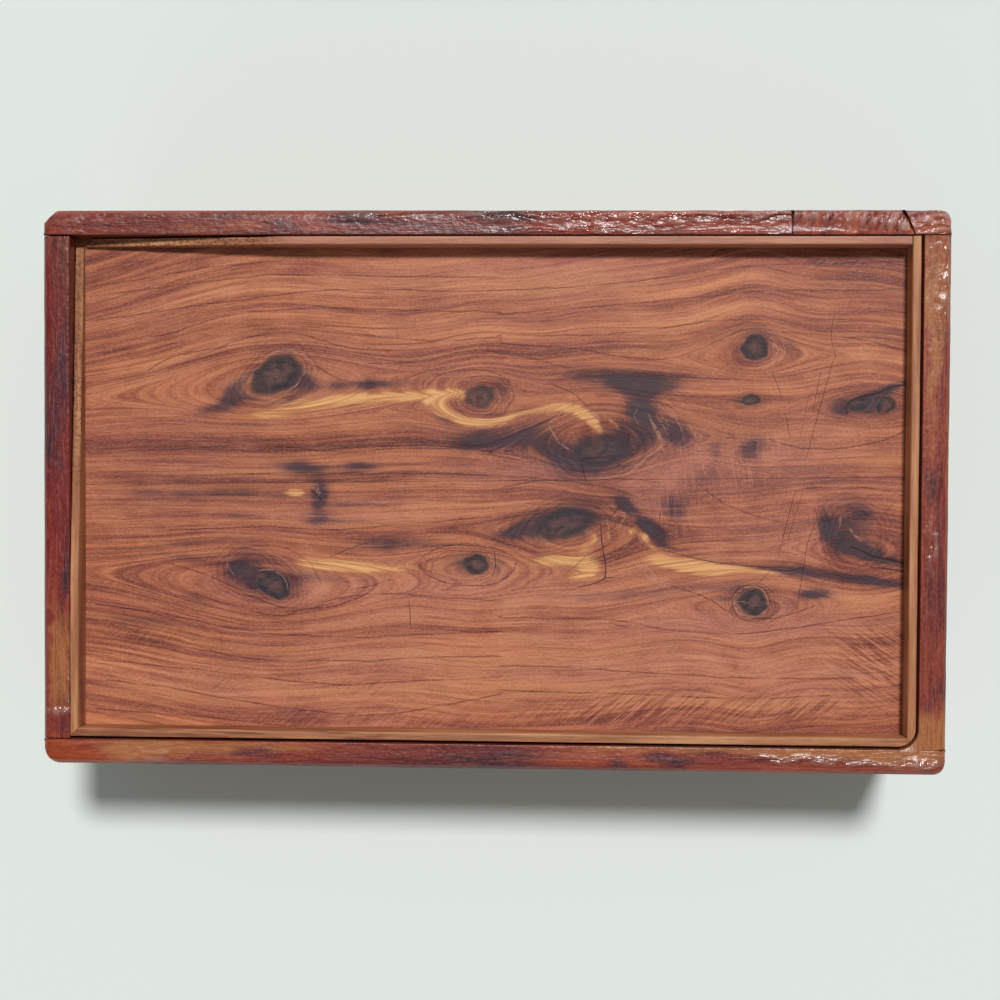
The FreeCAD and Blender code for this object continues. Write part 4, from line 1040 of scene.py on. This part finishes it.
def lid_fields(points):
    """The lid's painted fields at each vertex."""
    x, y, _ = points.T
    drift_x = x + 1.3 * noise(x / 9, y / 4, seed=43, octaves=2)
    drift_y = y + 0.7 * noise(x / 7, y / 2.5, seed=44, octaves=2)
    soft_x = x + 0.5 * noise(x / 3, y / 1.5, seed=41)
    soft_y = y + 0.35 * noise(x / 6, y / 1.8, seed=42, octaves=2)
    knot, halo, ring = np.zeros(x.shape), np.zeros(x.shape), np.full(x.shape, 9.0)
    for *shape, darkness in KNOTS:
        reach = knot_reach(soft_x, soft_y, *shape)
        knot = np.maximum(knot, darkness * ease(reach, 1.25, 0.65))
        halo = np.maximum(halo, darkness * np.exp(-((np.clip(reach - 0.8, 0, None) / 0.7) ** 2)))
        ring = np.minimum(ring, reach)
    fields = {"across": grain(x, y), "knot": knot, "halo": halo, "ring": ring}
    fields["gold"] = clouds(soft_x, soft_y, GOLD)
    for name, table in DRIFTING.items():
        fields[name] = clouds(drift_x, drift_y, table)
    for name, table, px, py, width in (
        ("crack", CRACKS + SCRATCHES, x, y, 1.3),
        ("pale", PALE, soft_x, soft_y, 1.1),
        ("line", LINES, soft_x, soft_y, 0.42),
    ):
        fields[f"{name}_side"], fields[f"{name}_near"] = fine_lines(px, py, table, width)
    return fields


# ---- materials ----


def lid_finish():
    """Satin-varnished knotty cedar for the lid boards' faces."""
    f = Finish("knotty_cedar_satin")
    x, y, z = f.split(f.place())
    across = f.attribute("across") + (z - LID_TOP) * 0.8
    knot, halo, ring = f.attribute("knot"), f.attribute("halo"), f.attribute("ring")
    gold, plum, tone = f.attribute("gold"), f.attribute("plum"), f.attribute("tone")
    blush, torn = f.attribute("blush"), f.attribute("torn")

    # streaks of three widths, long along the grain
    broad = f.noise((x * 0.004, across * 0.05, 1.7), detail=1.0) - 0.5
    middle = f.noise((x * 0.007, across * 0.2, 4.2)) - 0.5
    narrow = f.noise((x * 0.016, across * 0.75, 7.9), detail=3.0, roughness=0.62) - 0.5
    mottle = f.noise((x * 0.07, y * 0.12, 6.1), detail=3.0, roughness=0.6) - 0.5
    calm = 1 - blush * 0.32
    shade = 0.51 + broad * 0.46 + (middle * 0.64 + narrow * 0.78) * calm
    shade = shade + mottle * (blush * 0.3 + 0.34) + tone * 0.19
    wood = f.ramp(
        shade,
        (0.26, srgb(106, 48, 40)),
        (0.38, srgb(135, 68, 52)),
        (0.48, srgb(160, 87, 63)),
        (0.58, srgb(184, 108, 77)),
        (0.72, srgb(208, 135, 97)),
    )
    patchy = f.noise((x * 0.02, y * 0.03, 9.3)).ease(0.46, 0.62)
    veil = f.noise((x * 0.007, across * 0.2, 12.4), detail=3.0).ease(0.50, 0.66)
    glow = f.noise((x * 0.007, across * 0.26, 15.8), detail=3.0).ease(0.50, 0.66)
    wood = f.coats(
        wood,
        (patchy * 0.3, srgb(158, 88, 78)),
        ((tone + middle * 0.6).ease(0.05, 0.8) * 0.6, srgb(204, 134, 86)),
        (veil * 0.7, (0.76, 0.64, 0.80), TINT),
        (glow * 0.4, srgb(216, 136, 90)),
        ((blush * (mottle + 0.9) * 0.55).clip(), srgb(196, 126, 110)),
    )

    # growth rings: a fine dark line that fades to one side, each with its own strength
    drift = f.noise((x * 0.007, across * 0.07, 3.3)) * 3.4
    ripple = f.noise((x * 0.10, across * 0.8, 5.5)) * 0.16
    turn = across / 2.7 + drift + ripple
    phase = turn.fract()
    share = f.chance(turn.floor())
    late = (phase**5.0) * (share * 0.9 + 0.1) * phase.ease(1.0, 0.92)
    gaps = f.noise((x * 0.02, across * 0.45, 8.8)).ease(0.38, 0.58)
    late = (late * gaps * 0.95 + (phase**1.6) * share * 0.13).clip()
    fine = ((across / 0.85 + drift * 2.4).fract() ** 3.0) * gaps * 0.24
    dark_line = f.mix((blush * 1.3).clip(), (0.48, 0.30, 0.25), (0.47, 0.33, 0.37))
    bold = f.attribute("line_side").size().ease(1.0, 0.15) * f.attribute("line_near").ease(0.25, 0.6)
    broken = f.noise((x * 0.05, across * 0.5, 2.9)).ease(0.34, 0.55)
    wood = f.coats(
        wood,
        (late, dark_line, TINT),
        (fine, dark_line, TINT),
        (bold * (broken * 0.55 + 0.32), (0.38, 0.24, 0.25), TINT),
    )

    # fibres, pores and the planed surface's fine nap
    fibre = f.noise((x * 0.09, across * 1.7, z * 2.0), detail=3.0, roughness=0.65)
    speck = f.noise((x * 0.5, y * 1.5, z * 2.0), detail=3.0, roughness=0.7)
    grit = f.noise((x * 1.3, y * 1.7, z * 2.0), roughness=0.7)
    for texture, darken, lighten in ((fibre, 0.36, 0.22), (speck, 0.22, 0.14), (grit, 0.24, 0.16)):
        wood = f.coats(
            wood,
            (texture.ease(0.50, 0.34) * darken, (0.52, 0.37, 0.36), TINT),
            (texture.ease(0.50, 0.68) * lighten, srgb(224, 156, 122)),
        )

    # torn grain and saw marks
    hatch = f.noise((x * 1.25 + y * 0.16, y * 0.09, 3.0), detail=3.0, roughness=0.7)
    wood = f.coats(
        wood,
        (hatch.ease(0.53, 0.68) * torn * 0.75, srgb(206, 134, 110)),
        (hatch.ease(0.47, 0.33) * torn * 0.8, (0.45, 0.38, 0.44), TINT),
    )
    cuts = 0
    for name, rise in (("rising", 40), ("falling", -32)):
        c, s = math.cos(math.radians(rise)), math.sin(math.radians(rise))
        cut = f.noise(((y * c - x * s) * 1.9, (x * c + y * s) * 0.12, 4.4), detail=1.0)
        cuts = cut.ease(0.51, 0.36) * f.attribute(name) + cuts
        wood = f.mix(cut.ease(0.53, 0.66) * f.attribute(name) * 0.4, wood, srgb(216, 142, 112))
    wood = f.mix((cuts * 0.6).clip(), wood, (0.40, 0.28, 0.29), TINT)

    # sapwood, stains and knots
    streak = f.noise((x * 0.05, across * 1.1, 2.2), detail=4.0, roughness=0.62).ease(0.3, 0.7)
    edge = f.noise((x * 0.25, across * 0.8, 2.2), detail=4.0, roughness=0.6) - 0.5
    cloudy = f.noise((x * 0.12, y * 0.16, 2.6), detail=3.0, roughness=0.6)
    share = plum * (streak * 0.7 + cloudy * 1.4 + 0.1)
    stain, ink = share.ease(-0.04, 1.15), share.ease(0.75, 1.9)
    sap = (gold * (streak * 0.7 + 0.65)).ease(0.05, 1.1)
    sapwood = f.ramp(
        sap * 0.75 + streak * 0.25,
        (0.2, srgb(172, 102, 74)),
        (0.55, srgb(203, 137, 88)),
        (0.9, srgb(236, 178, 118)),
    )
    thread = f.noise((x * 0.03, across * 1.9, 6.6)).ease(0.54, 0.38)
    sapwood = f.mix(thread * 0.75, sapwood, (0.66, 0.52, 0.44), TINT)
    bare = 1 - sap.ease(0.25, 0.7) * 0.8
    blotch = f.noise((x * 0.35, y * 0.5, 4.0), detail=4.0, roughness=0.6)
    heart = f.mix(blotch.ease(0.40, 0.62) * 0.5, srgb(38, 35, 40), srgb(72, 60, 64))
    pith = (ring + edge * 0.8).ease(0.75, 0.2) * blotch.ease(0.3, 0.55)
    core = (knot + edge * 0.5).ease(0.08, 0.85)
    bark = (ring + edge * 0.2 - 1.08).size().ease(0.10, 0.02) * halo * halo
    orbit = ((ring * 12.0 + edge * 2.5).sine() ** 6.0) * ring.ease(2.4, 1.3) * ring.ease(0.9, 1.1)
    pale = f.attribute("pale_side").size().ease(1.0, 0.3) * f.attribute("pale_near").ease(0.25, 0.6)
    crack = f.attribute("crack_side").size().ease(1.0, 0.4) * f.attribute("crack_near").ease(0.25, 0.6)
    wood = f.coats(
        wood,
        (halo * (streak * 0.4 + 0.3), (0.50, 0.42, 0.52), TINT),
        (sap * 0.9, sapwood),
        ((late + bold * 0.6).clip() * sap * 0.8, (0.62, 0.44, 0.36), TINT),
        ((stain * bare).clip(), (0.23, 0.25, 0.55), TINT),
        ((ink * bare).clip() * 0.8, f.mix(streak, srgb(44, 42, 50), srgb(74, 60, 66))),
        (core * 0.92, f.mix(pith * 0.7, heart, srgb(112, 76, 72))),
        (bark * streak.ease(0.2, 0.9) * 0.45, srgb(158, 112, 102)),
        (orbit * 0.55, (0.5, 0.38, 0.42), TINT),
        (pale * speck.ease(0.36, 0.56) * 0.42, srgb(200, 144, 122)),
        (crack * 0.85, srgb(54, 26, 24)),
    )

    rough = 0.46 + fibre * 0.12 + core * 0.08
    height = fibre * 0.5 + speck * 0.7 + grit * 0.6 - late * 0.5 - cuts * 0.8 - crack * 1.2
    return f.surface(wood, rough, f.bump(height + hatch * torn * 0.8, 0.45, 0.18), 0.28)


def wall_finish():
    """Thick glossy varnish on dark red cedar, with its own blots of heartwood and ochre, and a
    pink-white sheen painted on as a highlight where the varnish is glossy on top.
    """
    f = Finish("varnished_red_cedar")
    _, _, z = f.split(f.place())
    along, off, level = f.attribute("along"), f.attribute("off"), f.attribute("level")
    bare, gloss, knot = f.attribute("bare"), f.attribute("gloss"), f.attribute("knot")

    warp = f.noise((along * 0.014, off * 0.08, level * 0.07)) * 7.0
    ringed = off * 0.42 + level * 0.26 + warp
    phase = ringed.fract()
    late = (phase**4.0) * (f.chance(ringed.floor()) * 0.8 + 0.2) * phase.ease(1.0, 0.93)
    tone = f.noise((along * 0.014, off * 0.2, level * 0.10), detail=4.0, roughness=0.62)
    wood = f.ramp(
        tone,
        (0.32, srgb(84, 27, 27)),
        (0.43, srgb(116, 43, 37)),
        (0.54, srgb(143, 61, 46)),
        (0.68, srgb(172, 88, 62)),
    )
    streak = f.noise((along * 0.05, off * 0.9, level * 0.5), detail=4.0, roughness=0.65)
    edge = streak.ease(0.3, 0.7)
    for name, colour, strength in (
        ("ochre", srgb(176, 112, 66), 0.85),
        ("amber", srgb(154, 62, 24), 0.9),
        ("crimson", srgb(122, 26, 30), 0.8),
        ("plum", srgb(78, 38, 50), 0.85),
    ):
        share = (f.attribute(name) * (edge * 0.8 + 0.65)).ease(0.05, 1.05)
        wood = f.mix(share * strength, wood, colour)
    ink = (f.attribute("plum") * (edge * 0.6 + 0.6)).ease(0.7, 1.15)
    wood = f.coats(
        wood, (ink * 0.75, srgb(44, 36, 46)), (late * 0.6, (0.42, 0.28, 0.30), TINT)
    )
    fibre = f.noise((along * 0.12, off * 2.2, level * 2.0), detail=4.0, roughness=0.65)
    grit = f.noise((along * 0.7, off * 1.5, z * 1.5), roughness=0.7)
    for texture, share in ((fibre, 0.55), (grit, 0.3)):
        wood = f.coats(
            wood,
            (texture.ease(0.49, 0.32) * share, (0.46, 0.32, 0.34), TINT),
            (texture.ease(0.52, 0.72) * share * 0.6, srgb(204, 126, 100)),
        )
    bare_wood = f.mix(late * 0.6, srgb(186, 128, 98), srgb(128, 72, 54))
    bare_wood = f.mix(fibre.ease(0.46, 0.30) * 0.5, bare_wood, (0.6, 0.5, 0.46), TINT)
    lumps = f.noise((along * 0.2, off * 0.55, z * 0.5), roughness=0.45)
    crinkle = f.noise((along * 0.5, off * 0.8, z * 0.8))
    # Painted highlight: a pink-white sheen lightens the glossy lumps on the top of the rim, in place of
    # the lamp's reflection.
    painted_sheen = gloss * lumps.ease(0.40, 0.62) * z.ease(73, 75.4) * 0.34
    wood = f.coats(
        wood,
        ((knot * (edge * 0.6 + 0.7)).ease(0.2, 0.9) * 0.9, srgb(48, 32, 34)),
        (bare, bare_wood),
        (painted_sheen, srgb(222, 178, 168)),
    )
    rough = 0.30 - gloss * 0.17 + bare * 0.36
    height = lumps * (gloss * 2.4 + 0.3) * (1 - bare) + fibre * (0.16 - gloss * 0.14)
    height = height + crinkle * (gloss * 0.6 + 0.26) * (1 - bare)
    return f.surface(wood, rough, f.bump(height, 1.0, 0.6), 0.56)


def strip_finish():
    """Tan strips, thinly varnished, rough where they are cut down."""
    f = Finish("pale_strip_wood")
    x, y, z = f.split(f.place())
    along, off = f.attribute("along"), f.attribute("off")
    torn, stained, blush = f.attribute("torn"), f.attribute("stained"), f.attribute("blush")
    tone = f.noise((along * 0.025, off * 0.5, z * 0.3), detail=3.0)
    wood = f.ramp(
        tone, (0.34, srgb(150, 92, 60)), (0.5, srgb(176, 116, 78)), (0.66, srgb(200, 142, 98))
    )
    streak = f.noise((along * 0.03, off * 0.9 + along * 0.02, z * 0.4), detail=3.0)
    fibre = f.noise((along * 0.14, off * 1.8, z * 1.8), detail=4.0, roughness=0.7)
    chips = f.noise((x * 0.9, y * 0.9, z * 0.9), detail=3.0, roughness=0.7)
    wood = f.coats(
        wood,
        (blush * 0.7, srgb(184, 118, 100)),
        (streak.ease(0.56, 0.44) * stained, (0.52, 0.36, 0.36), TINT),
        (fibre.ease(0.47, 0.30) * 0.7, (0.52, 0.38, 0.34), TINT),
        (fibre.ease(0.55, 0.72) * 0.3, srgb(222, 168, 128)),
        (chips.ease(0.52, 0.40) * torn * 0.9, (0.42, 0.32, 0.26), TINT),
    )
    normal = f.bump(fibre * 0.6 + chips * torn * 1.6, 0.7, 0.35)
    return f.surface(wood, 0.36 + fibre * 0.14 + torn * 0.2, normal, 0.4)


def floor_finish():
    """Bare planed cedar for the floor boards."""
    f = Finish("bare_cedar_floor")
    x, y, z = f.split(f.place())
    ringed = y / 5.0 + f.noise((x * 0.008, y * 0.05, z * 0.1), detail=3.0) * 6.0
    late = (ringed.fract() ** 4.0) * (f.chance(ringed.floor()) * 0.7 + 0.3)
    broad = f.noise((x * 0.01, y * 0.08, z * 0.1), detail=3.0).ease(0.4, 0.64)
    fibre = f.noise((x * 0.08, y * 2.2, z * 2.2), detail=4.0, roughness=0.65)
    wood = f.coats(
        srgb(200, 142, 108),
        (late * 0.7, srgb(142, 84, 60)),
        (broad * 0.5, srgb(170, 104, 78)),
        (fibre.ease(0.46, 0.30) * 0.6, (0.58, 0.46, 0.42), TINT),
    )
    return f.surface(wood, 0.6 + fibre * 0.12, f.bump(fibre - late * 0.4, 0.4, 0.2))


def peg_finish():
    """End grain of the pegs and dowels, under thin varnish."""
    f = Finish("peg_end_grain")
    fleck = f.noise(f.place(), scale=2.2, detail=3.0, roughness=0.7)
    wood = f.ramp(
        fleck, (0.3, srgb(120, 70, 54)), (0.55, srgb(168, 108, 84)), (0.75, srgb(196, 140, 112))
    )
    return f.surface(wood, 0.35 + fleck * 0.15, f.bump(fleck, 0.4, 0.2))


# ---- the walls' blots ----
# Clouds on the rim, by the name of their field.

BLOTS = {
    "plum": [
        (13, 840, 78, 75, 24, -8, 0.9), (13, 1075, 50, 115, 32, 0, 1.1),
        (13, 1330, 70, 220, 40, 0, 0.6), (13, 1540, 42, 70, 22, 0, 0.9), (14, 90, 244, 120, 20, 0, 0.9),
        (13, 650, 50, 120, 14, 0, 0.5), (14, 60, 290, 90, 14, 0, 0.6), (13, 560, 35, 150, 12, 0, 0.3),
        (15, 740, 490, 110, 20, 0, 0.75), (15, 1180, 510, 220, 40, 0, 0.5),
        (15, 1480, 510, 180, 44, 0, 0.7), (16, 100, 720, 140, 44, 0, 0.7), (16, 430, 740, 40, 24, 0, 1),
        (16, 560, 716, 60, 16, 0, 0.9), (16, 640, 740, 70, 26, 0, 1), (16, 330, 700, 120, 12, 0, 0.35),
        (16, 840, 748, 110, 14, 0, 0.4), (17, 440, 92, 130, 24, 90, 1),
        (17, 640, 120, 130, 28, 90, 0.9), (17, 900, 85, 160, 14, 90, 0.5),
        (17, 1020, 80, 70, 10, 90, 0.7), (17, 480, 135, 160, 10, 90, 0.4),
        (17, 1420, 92, 34, 22, 90, 0.5), (18, 770, 272, 60, 18, 90, 0.95),
        (18, 1090, 250, 110, 26, 90, 0.6), (18, 1340, 262, 60, 24, 70, 0.75),
        (18, 640, 222, 130, 8, 90, 0.6), (18, 520, 232, 120, 6, 84, 0.4),
        (18, 900, 240, 90, 20, 90, 0.35),
    ],
    "ochre": [
        (13, 530, 86, 66, 17, 0, 0.5), (13, 705, 78, 66, 14, 0, 0.45), (15, 560, 470, 330, 20, 0, 1.1),
        (15, 330, 487, 120, 34, 0, 1.1), (15, 900, 470, 70, 12, 0, 0.5),
        (16, 390, 686, 170, 12, 0, 0.7), (16, 720, 690, 170, 12, 0, 0.8),
        (16, 1060, 700, 190, 20, 0, 1.1), (16, 1380, 705, 190, 38, 0, 1.1),
        (16, 1500, 660, 60, 60, 0, 1), (17, 1235, 108, 130, 40, 90, 1.4),
        (18, 240, 270, 110, 14, 90, 0.8), (18, 200, 245, 200, 44, 90, 0.6),
        (18, 420, 262, 120, 16, 90, 0.5), (18, 480, 256, 170, 12, 86, 0.6),
        (18, 1440, 285, 50, 50, 90, 0.95), (18, 1400, 235, 60, 14, 90, 0.5),
        (17, 180, 85, 90, 12, 90, 0.3),
    ],
    "amber": [
        (15, 90, 500, 110, 34, 0, 1), (15, 190, 505, 60, 26, 0, 0.9), (15, 60, 450, 40, 50, 0, 0.7),
        (17, 1490, 80, 34, 60, 90, 0.8),
    ],
    "crimson": [
        (15, 790, 530, 220, 10, 0, 0.8), (15, 170, 465, 60, 14, 0, 0.5),
        (15, 1100, 520, 220, 12, 0, 0.4), (16, 310, 738, 70, 16, 0, 0.5),
        (17, 780, 100, 420, 60, 90, 0.85), (17, 300, 140, 260, 14, 90, 0.9),
        (17, 500, 110, 300, 40, 90, 0.5), (17, 1180, 140, 260, 14, 90, 0.8),
        (17, 760, 140, 300, 9, 90, 0.7), (17, 1410, 100, 30, 30, 90, 0.7),
        (18, 1535, 290, 16, 50, 90, 0.5), (18, 200, 300, 60, 14, 90, 0.3),
        (16, 820, 755, 140, 10, 0, 0.5), (14, 1260, 270, 200, 34, 0, 0.35),
    ],
}
# Thick, lumpy varnish; where it is thick, a pink-white sheen is also painted on the top as a highlight.
GLOSS = [
    (14, 700, 250, 520, 34, 0, 0.45), (14, 1440, 240, 140, 40, 0, 0.5), (13, 1140, 40, 150, 16, 0, 0.5),
    (13, 1540, 40, 80, 18, 0, 0.7), (14, 120, 235, 160, 20, 0, 0.7), (14, 620, 236, 420, 14, 0, 1),
    (14, 860, 234, 190, 16, 0, 1), (14, 340, 292, 60, 12, 0, 1), (14, 150, 300, 130, 7, 0, 0.6),
    (14, 700, 304, 380, 6, 0, 0.7), (14, 1160, 240, 120, 22, 0, 0.8), (14, 1340, 250, 110, 36, 0, 1.3),
    (14, 1500, 250, 80, 44, 0, 1.3), (14, 1560, 330, 20, 80, 0, 0.4), (13, 470, 36, 200, 12, 0, 0.3),
    (16, 1050, 724, 110, 12, 0, 1), (16, 1350, 744, 200, 8, 0, 0.8), (15, 420, 500, 110, 24, 0, 0.45),
    (15, 820, 537, 120, 5, 0, 0.5), (17, 1330, 72, 60, 8, 90, 0.9), (17, 1378, 100, 10, 34, 90, 0.9),
    (18, 60, 280, 50, 80, 90, 0.8), (18, 250, 225, 130, 20, 90, 0.55), (18, 680, 214, 60, 8, 90, 0.8),
    (18, 940, 268, 60, 14, 90, 0.7), (18, 1525, 290, 16, 60, 90, 0.5), (17, 90, 80, 60, 50, 90, 0.25),
    (13, 180, 60, 160, 30, 0, 0.2),
]

# Knots on the outer faces: (wall, along, height, half length, half height, rise, darkness)
SIDE_KNOTS = [
    ("rear", -92.0, 44.0, 6.5, 4.6, 8, 1.0), ("rear", 38.0, 22.0, 4.2, 3.2, -5, 0.9),
    ("rear", 104.0, 50.0, 3.4, 2.6, 0, 0.8), ("front", -40.0, 30.0, 7.0, 4.8, -10, 1.0),
    ("front", 72.0, 52.0, 4.4, 3.4, 6, 0.9), ("left", -30.0, 26.0, 4.6, 3.6, 5, 0.9),
    ("right", 34.0, 46.0, 5.8, 4.2, -8, 1.0),
]


# ---- pieces ----


def wall_fields(name, points):
    """Grain coordinates and blots of a wall, from its vertices.

    "along" runs with the grain, "off" across it, and "level" is the height, parted round the
    outer face's knots; "bare" is 1 on the unvarnished inside.
    """
    x, y, z = points.T
    along, off = (y, x) if name in ("left", "right", "rail") else (x, y)
    if name == "patch":
        along, off = y + 0.35 * x, x - 0.35 * y
    inner = np.maximum(np.abs(x) - INNER_X, np.abs(y) - INNER_Y)
    level, knot = z.copy(), np.zeros(x.shape)
    for wall, centre, height, long_half, short_half, rise, dark in SIDE_KNOTS:
        if wall == name:
            level = part_round(level, along, height, centre, long_half * 3, short_half * 1.5)
            reach = knot_reach(along, z, centre, height, long_half, short_half, rise)
            knot = np.maximum(knot, dark * ease(reach, 1.2, 0.7) * ease(inner, 3, 6))
    soft_x = x + 2.4 * noise(x / 7, y / 4, z / 6, seed=45, octaves=3)
    soft_y = y + 1.2 * noise(x / 7, y / 4, z / 6, seed=46, octaves=3)
    top = ease(z, 58, 70)
    fields = {"along": along, "off": off, "level": level, "knot": knot}
    fields["bare"] = ease(inner, 0.4, 0.15) * ease(z, 69.5, 68.5)
    fields["gloss"] = clouds(soft_x, soft_y, GLOSS) * ease(z, 67, 74) + 0.12 * (1 - top)
    for blot, table in BLOTS.items():
        fields[blot] = clouds(soft_x, soft_y, table) * top
    return fields


def lumpy(points):
    """How far the varnished surface lies below its plane: broad dents and runs of lumps.

    Towards the outer edge the top also falls away as CROWN_FALL e^2, with e from 0 to 1
    over CROWN.
    """
    x, y, z = points.T
    long_side = np.abs(y) > INNER_Y
    stretch_x, stretch_y = np.where(long_side, 3.4, 1.5), np.where(long_side, 1.5, 3.4)
    hollows = 0.5 + 0.5 * noise(x / 9, y / 9, z / 9, seed=5, octaves=2)
    lumps = 0.5 + 0.5 * noise(x / stretch_x, y / stretch_y, z / 2.2, seed=9, octaves=2)
    inner = np.maximum(np.abs(x) - INNER_X, np.abs(y) - INNER_Y)
    outside = np.maximum(ease(inner, 0.5, 1.2), ease(z, 68.6, 69.4))
    gloss = clouds(x, y, GLOSS) * ease(z, 66, 74)
    edge = np.maximum(np.abs(x) - HALF_LENGTH, np.abs(y) - HALF_WIDTH) / CROWN + 1
    crown = CROWN_FALL * np.clip(edge, 0, 1) ** 2 * ease(z, 74, 75.5)
    return 0.03 + outside * (0.14 * hollows + (0.04 + 0.36 * gloss) * lumps) + crown


def dents(size, depth, seed, least=0.02):
    """A press depth of soft dents of one size; depth may differ between the vertices."""
    return lambda p: least + depth * (0.5 + 0.5 * noise(*(p.T / size), seed=seed, octaves=2))


def build_walls(wood):
    """The four walls, the end rail and the patch."""
    for piece, name, body, shell, node in (
        ("long_wall_rear", "rear", "box", long_wall(1), "rear_wall"),
        ("long_wall_front", "front", "box", long_wall(-1), "front_wall"),
        ("left_wall", "left", "box", end_wall(-1, LID_GROOVE[0]), "left_end_wall"),
        ("right_wall", "right", "box", join([end_wall(1, HEIGHT), corner_fill()]), "right_end_wall"),
        ("end_rail", "rail", "lid", end_rail(), "lid_end_rail"),
        ("rim_patch_block", "patch", "box", patch(), "rim_patch"),
    ):
        mesh = make_mesh(piece, shell)
        press(mesh, lumpy)
        paint(mesh, **wall_fields(name, places_of(mesh)))
        add_piece(mesh, piece, wood, body, "cedar_wall", node)


def build_strips(wood):
    """The four strips; the rear and left ones are torn where they are cut down."""
    ramp_end = REAR_STRIP_START + REAR_RELIEF
    for name, shell in strips().items():
        mesh = make_mesh(f"strip_{name}", shell)
        x, y, _ = places_of(mesh).T
        torn = {"rear": ease(x, ramp_end + 4, ramp_end - 8), "left": ease(y, -20, 30) * 0.8}.get(name, 0)
        stained = {"front": ease(x, 40, -60) * 0.9, "left": 0.3, "rear": 0.15}.get(name, 0.1)
        blush = {"rear": 0.8, "front": 0.0}.get(name, 0.1)
        press(mesh, dents(3, 0.06, 15))
        if name in ("rear", "left"):
            press(mesh, dents(1.6, 0.28 * torn, 17, least=0))
        along, off = (x, y) if name in ("rear", "front") else (y, x)
        paint(mesh, along=along, off=off, torn=torn, stained=stained, blush=blush * (1 - torn))
        add_piece(mesh, f"strip_{name}", wood, "lid", "pale_strip", f"lid_strip_{name}")


def build_boards(lid_wood, floor_wood):
    """The two boards of the lid and the two of the floor."""
    for side, name in ((1, "rear"), (-1, "front")):
        mesh = make_mesh(f"board_{name}", lid_board(side))
        fields = lid_fields(places_of(mesh))
        press(mesh, dents(6, 0.05, 21))
        paint(mesh, **fields)
        add_piece(mesh, f"board_{name}", lid_wood, "lid", "cedar_lid", f"lid_board_{name}")
        mesh = make_mesh(f"floor_{name}", floor_board(side))
        press(mesh, dents(12, 0.05, 23))
        add_piece(mesh, f"floor_{name}", floor_wood, "box", "cedar_floor", f"floor_board_{name}")


def build_pegs(wood):
    """The dowels, the rail's pins and the patch's peg."""
    pegs = []
    for side_y, long_side in ((1, "rear"), (-1, "front")):
        for side_x, end in ((-1, "left"), (1, "right")):
            node = f"{long_side}_{end}_dowels"
            pegs.append((f"{node}_worn", corner_dowels(side_x, side_y), "box", node))
    pegs.append(("pins_worn", rail_pins(), "lid", "rail_pins"))
    pegs.append(("peg_worn", patch_peg(), "box", "patch_peg"))
    for piece, shell, body, node in pegs:
        add_piece(make_mesh(piece, shell), piece, wood, body, "peg_wood", node)


build_walls(wall_finish())
build_strips(strip_finish())
build_boards(lid_finish(), floor_finish())
build_pegs(peg_finish())


# ---- camera, light and floor ----


def sun(name, towards, strength, degrees):
    """A soft distant lamp that shines from the direction towards; degrees is how wide it looks."""
    data = bpy.data.lights.new(name, "SUN")
    data.energy, data.angle = strength, math.radians(degrees)
    lamp = stand(name, data)
    lamp.location = Vector(towards).normalized() * 2.0
    lamp.rotation_euler = Vector(towards).to_track_quat("Z", "Y").to_euler()


# The camera looks down on the lid with a slight tilt.
camera = stand("camera", bpy.data.cameras.new("camera"))
camera.data.lens, camera.data.sensor_width, camera.data.clip_start = LENS, SENSOR, 0.01
camera.location = CAMERA_PLACE
camera.rotation_euler = [math.radians(a) for a in CAMERA_TURN]
bpy.context.scene.camera = camera

sun("key", (0.14, 0.47, 1.0), 2.55, 9.0)
sun("front_fill", (-0.35, -1.0, 0.25), 0.35, 40.0)

# The room looks bright to the camera but shines on the box four times weaker.
world = bpy.data.worlds.new("room")
bpy.context.scene.world = world
world.use_nodes = True
room = world.node_tree
level = room.nodes.new("ShaderNodeMapRange")
level.inputs["To Min"].default_value, level.inputs["To Max"].default_value = 0.20, 0.80
room.nodes["Background"].inputs["Color"].default_value = (0.932, 0.988, 0.943, 1.0)
seen = room.nodes.new("ShaderNodeLightPath").outputs["Is Camera Ray"]
room.links.new(seen, level.inputs["Value"])
room.links.new(level.outputs[0], room.nodes["Background"].inputs["Strength"])

REACH = 9  # metres from the box to the floor's edge
ground_mesh = bpy.data.meshes.new("pale_floor")
corners = [(x * REACH, y * REACH, 0) for x, y in ((-1, -1), (1, -1), (1, 1), (-1, 1))]
ground_mesh.from_pydata(corners, [], [(0, 1, 2, 3)])
ground_mesh.materials.append(Finish("pale_floor").surface(srgb(230, 236, 231), 0.8))
ground = stand("pale_floor", ground_mesh)

bpy.context.scene.view_settings.view_transform = "Standard"
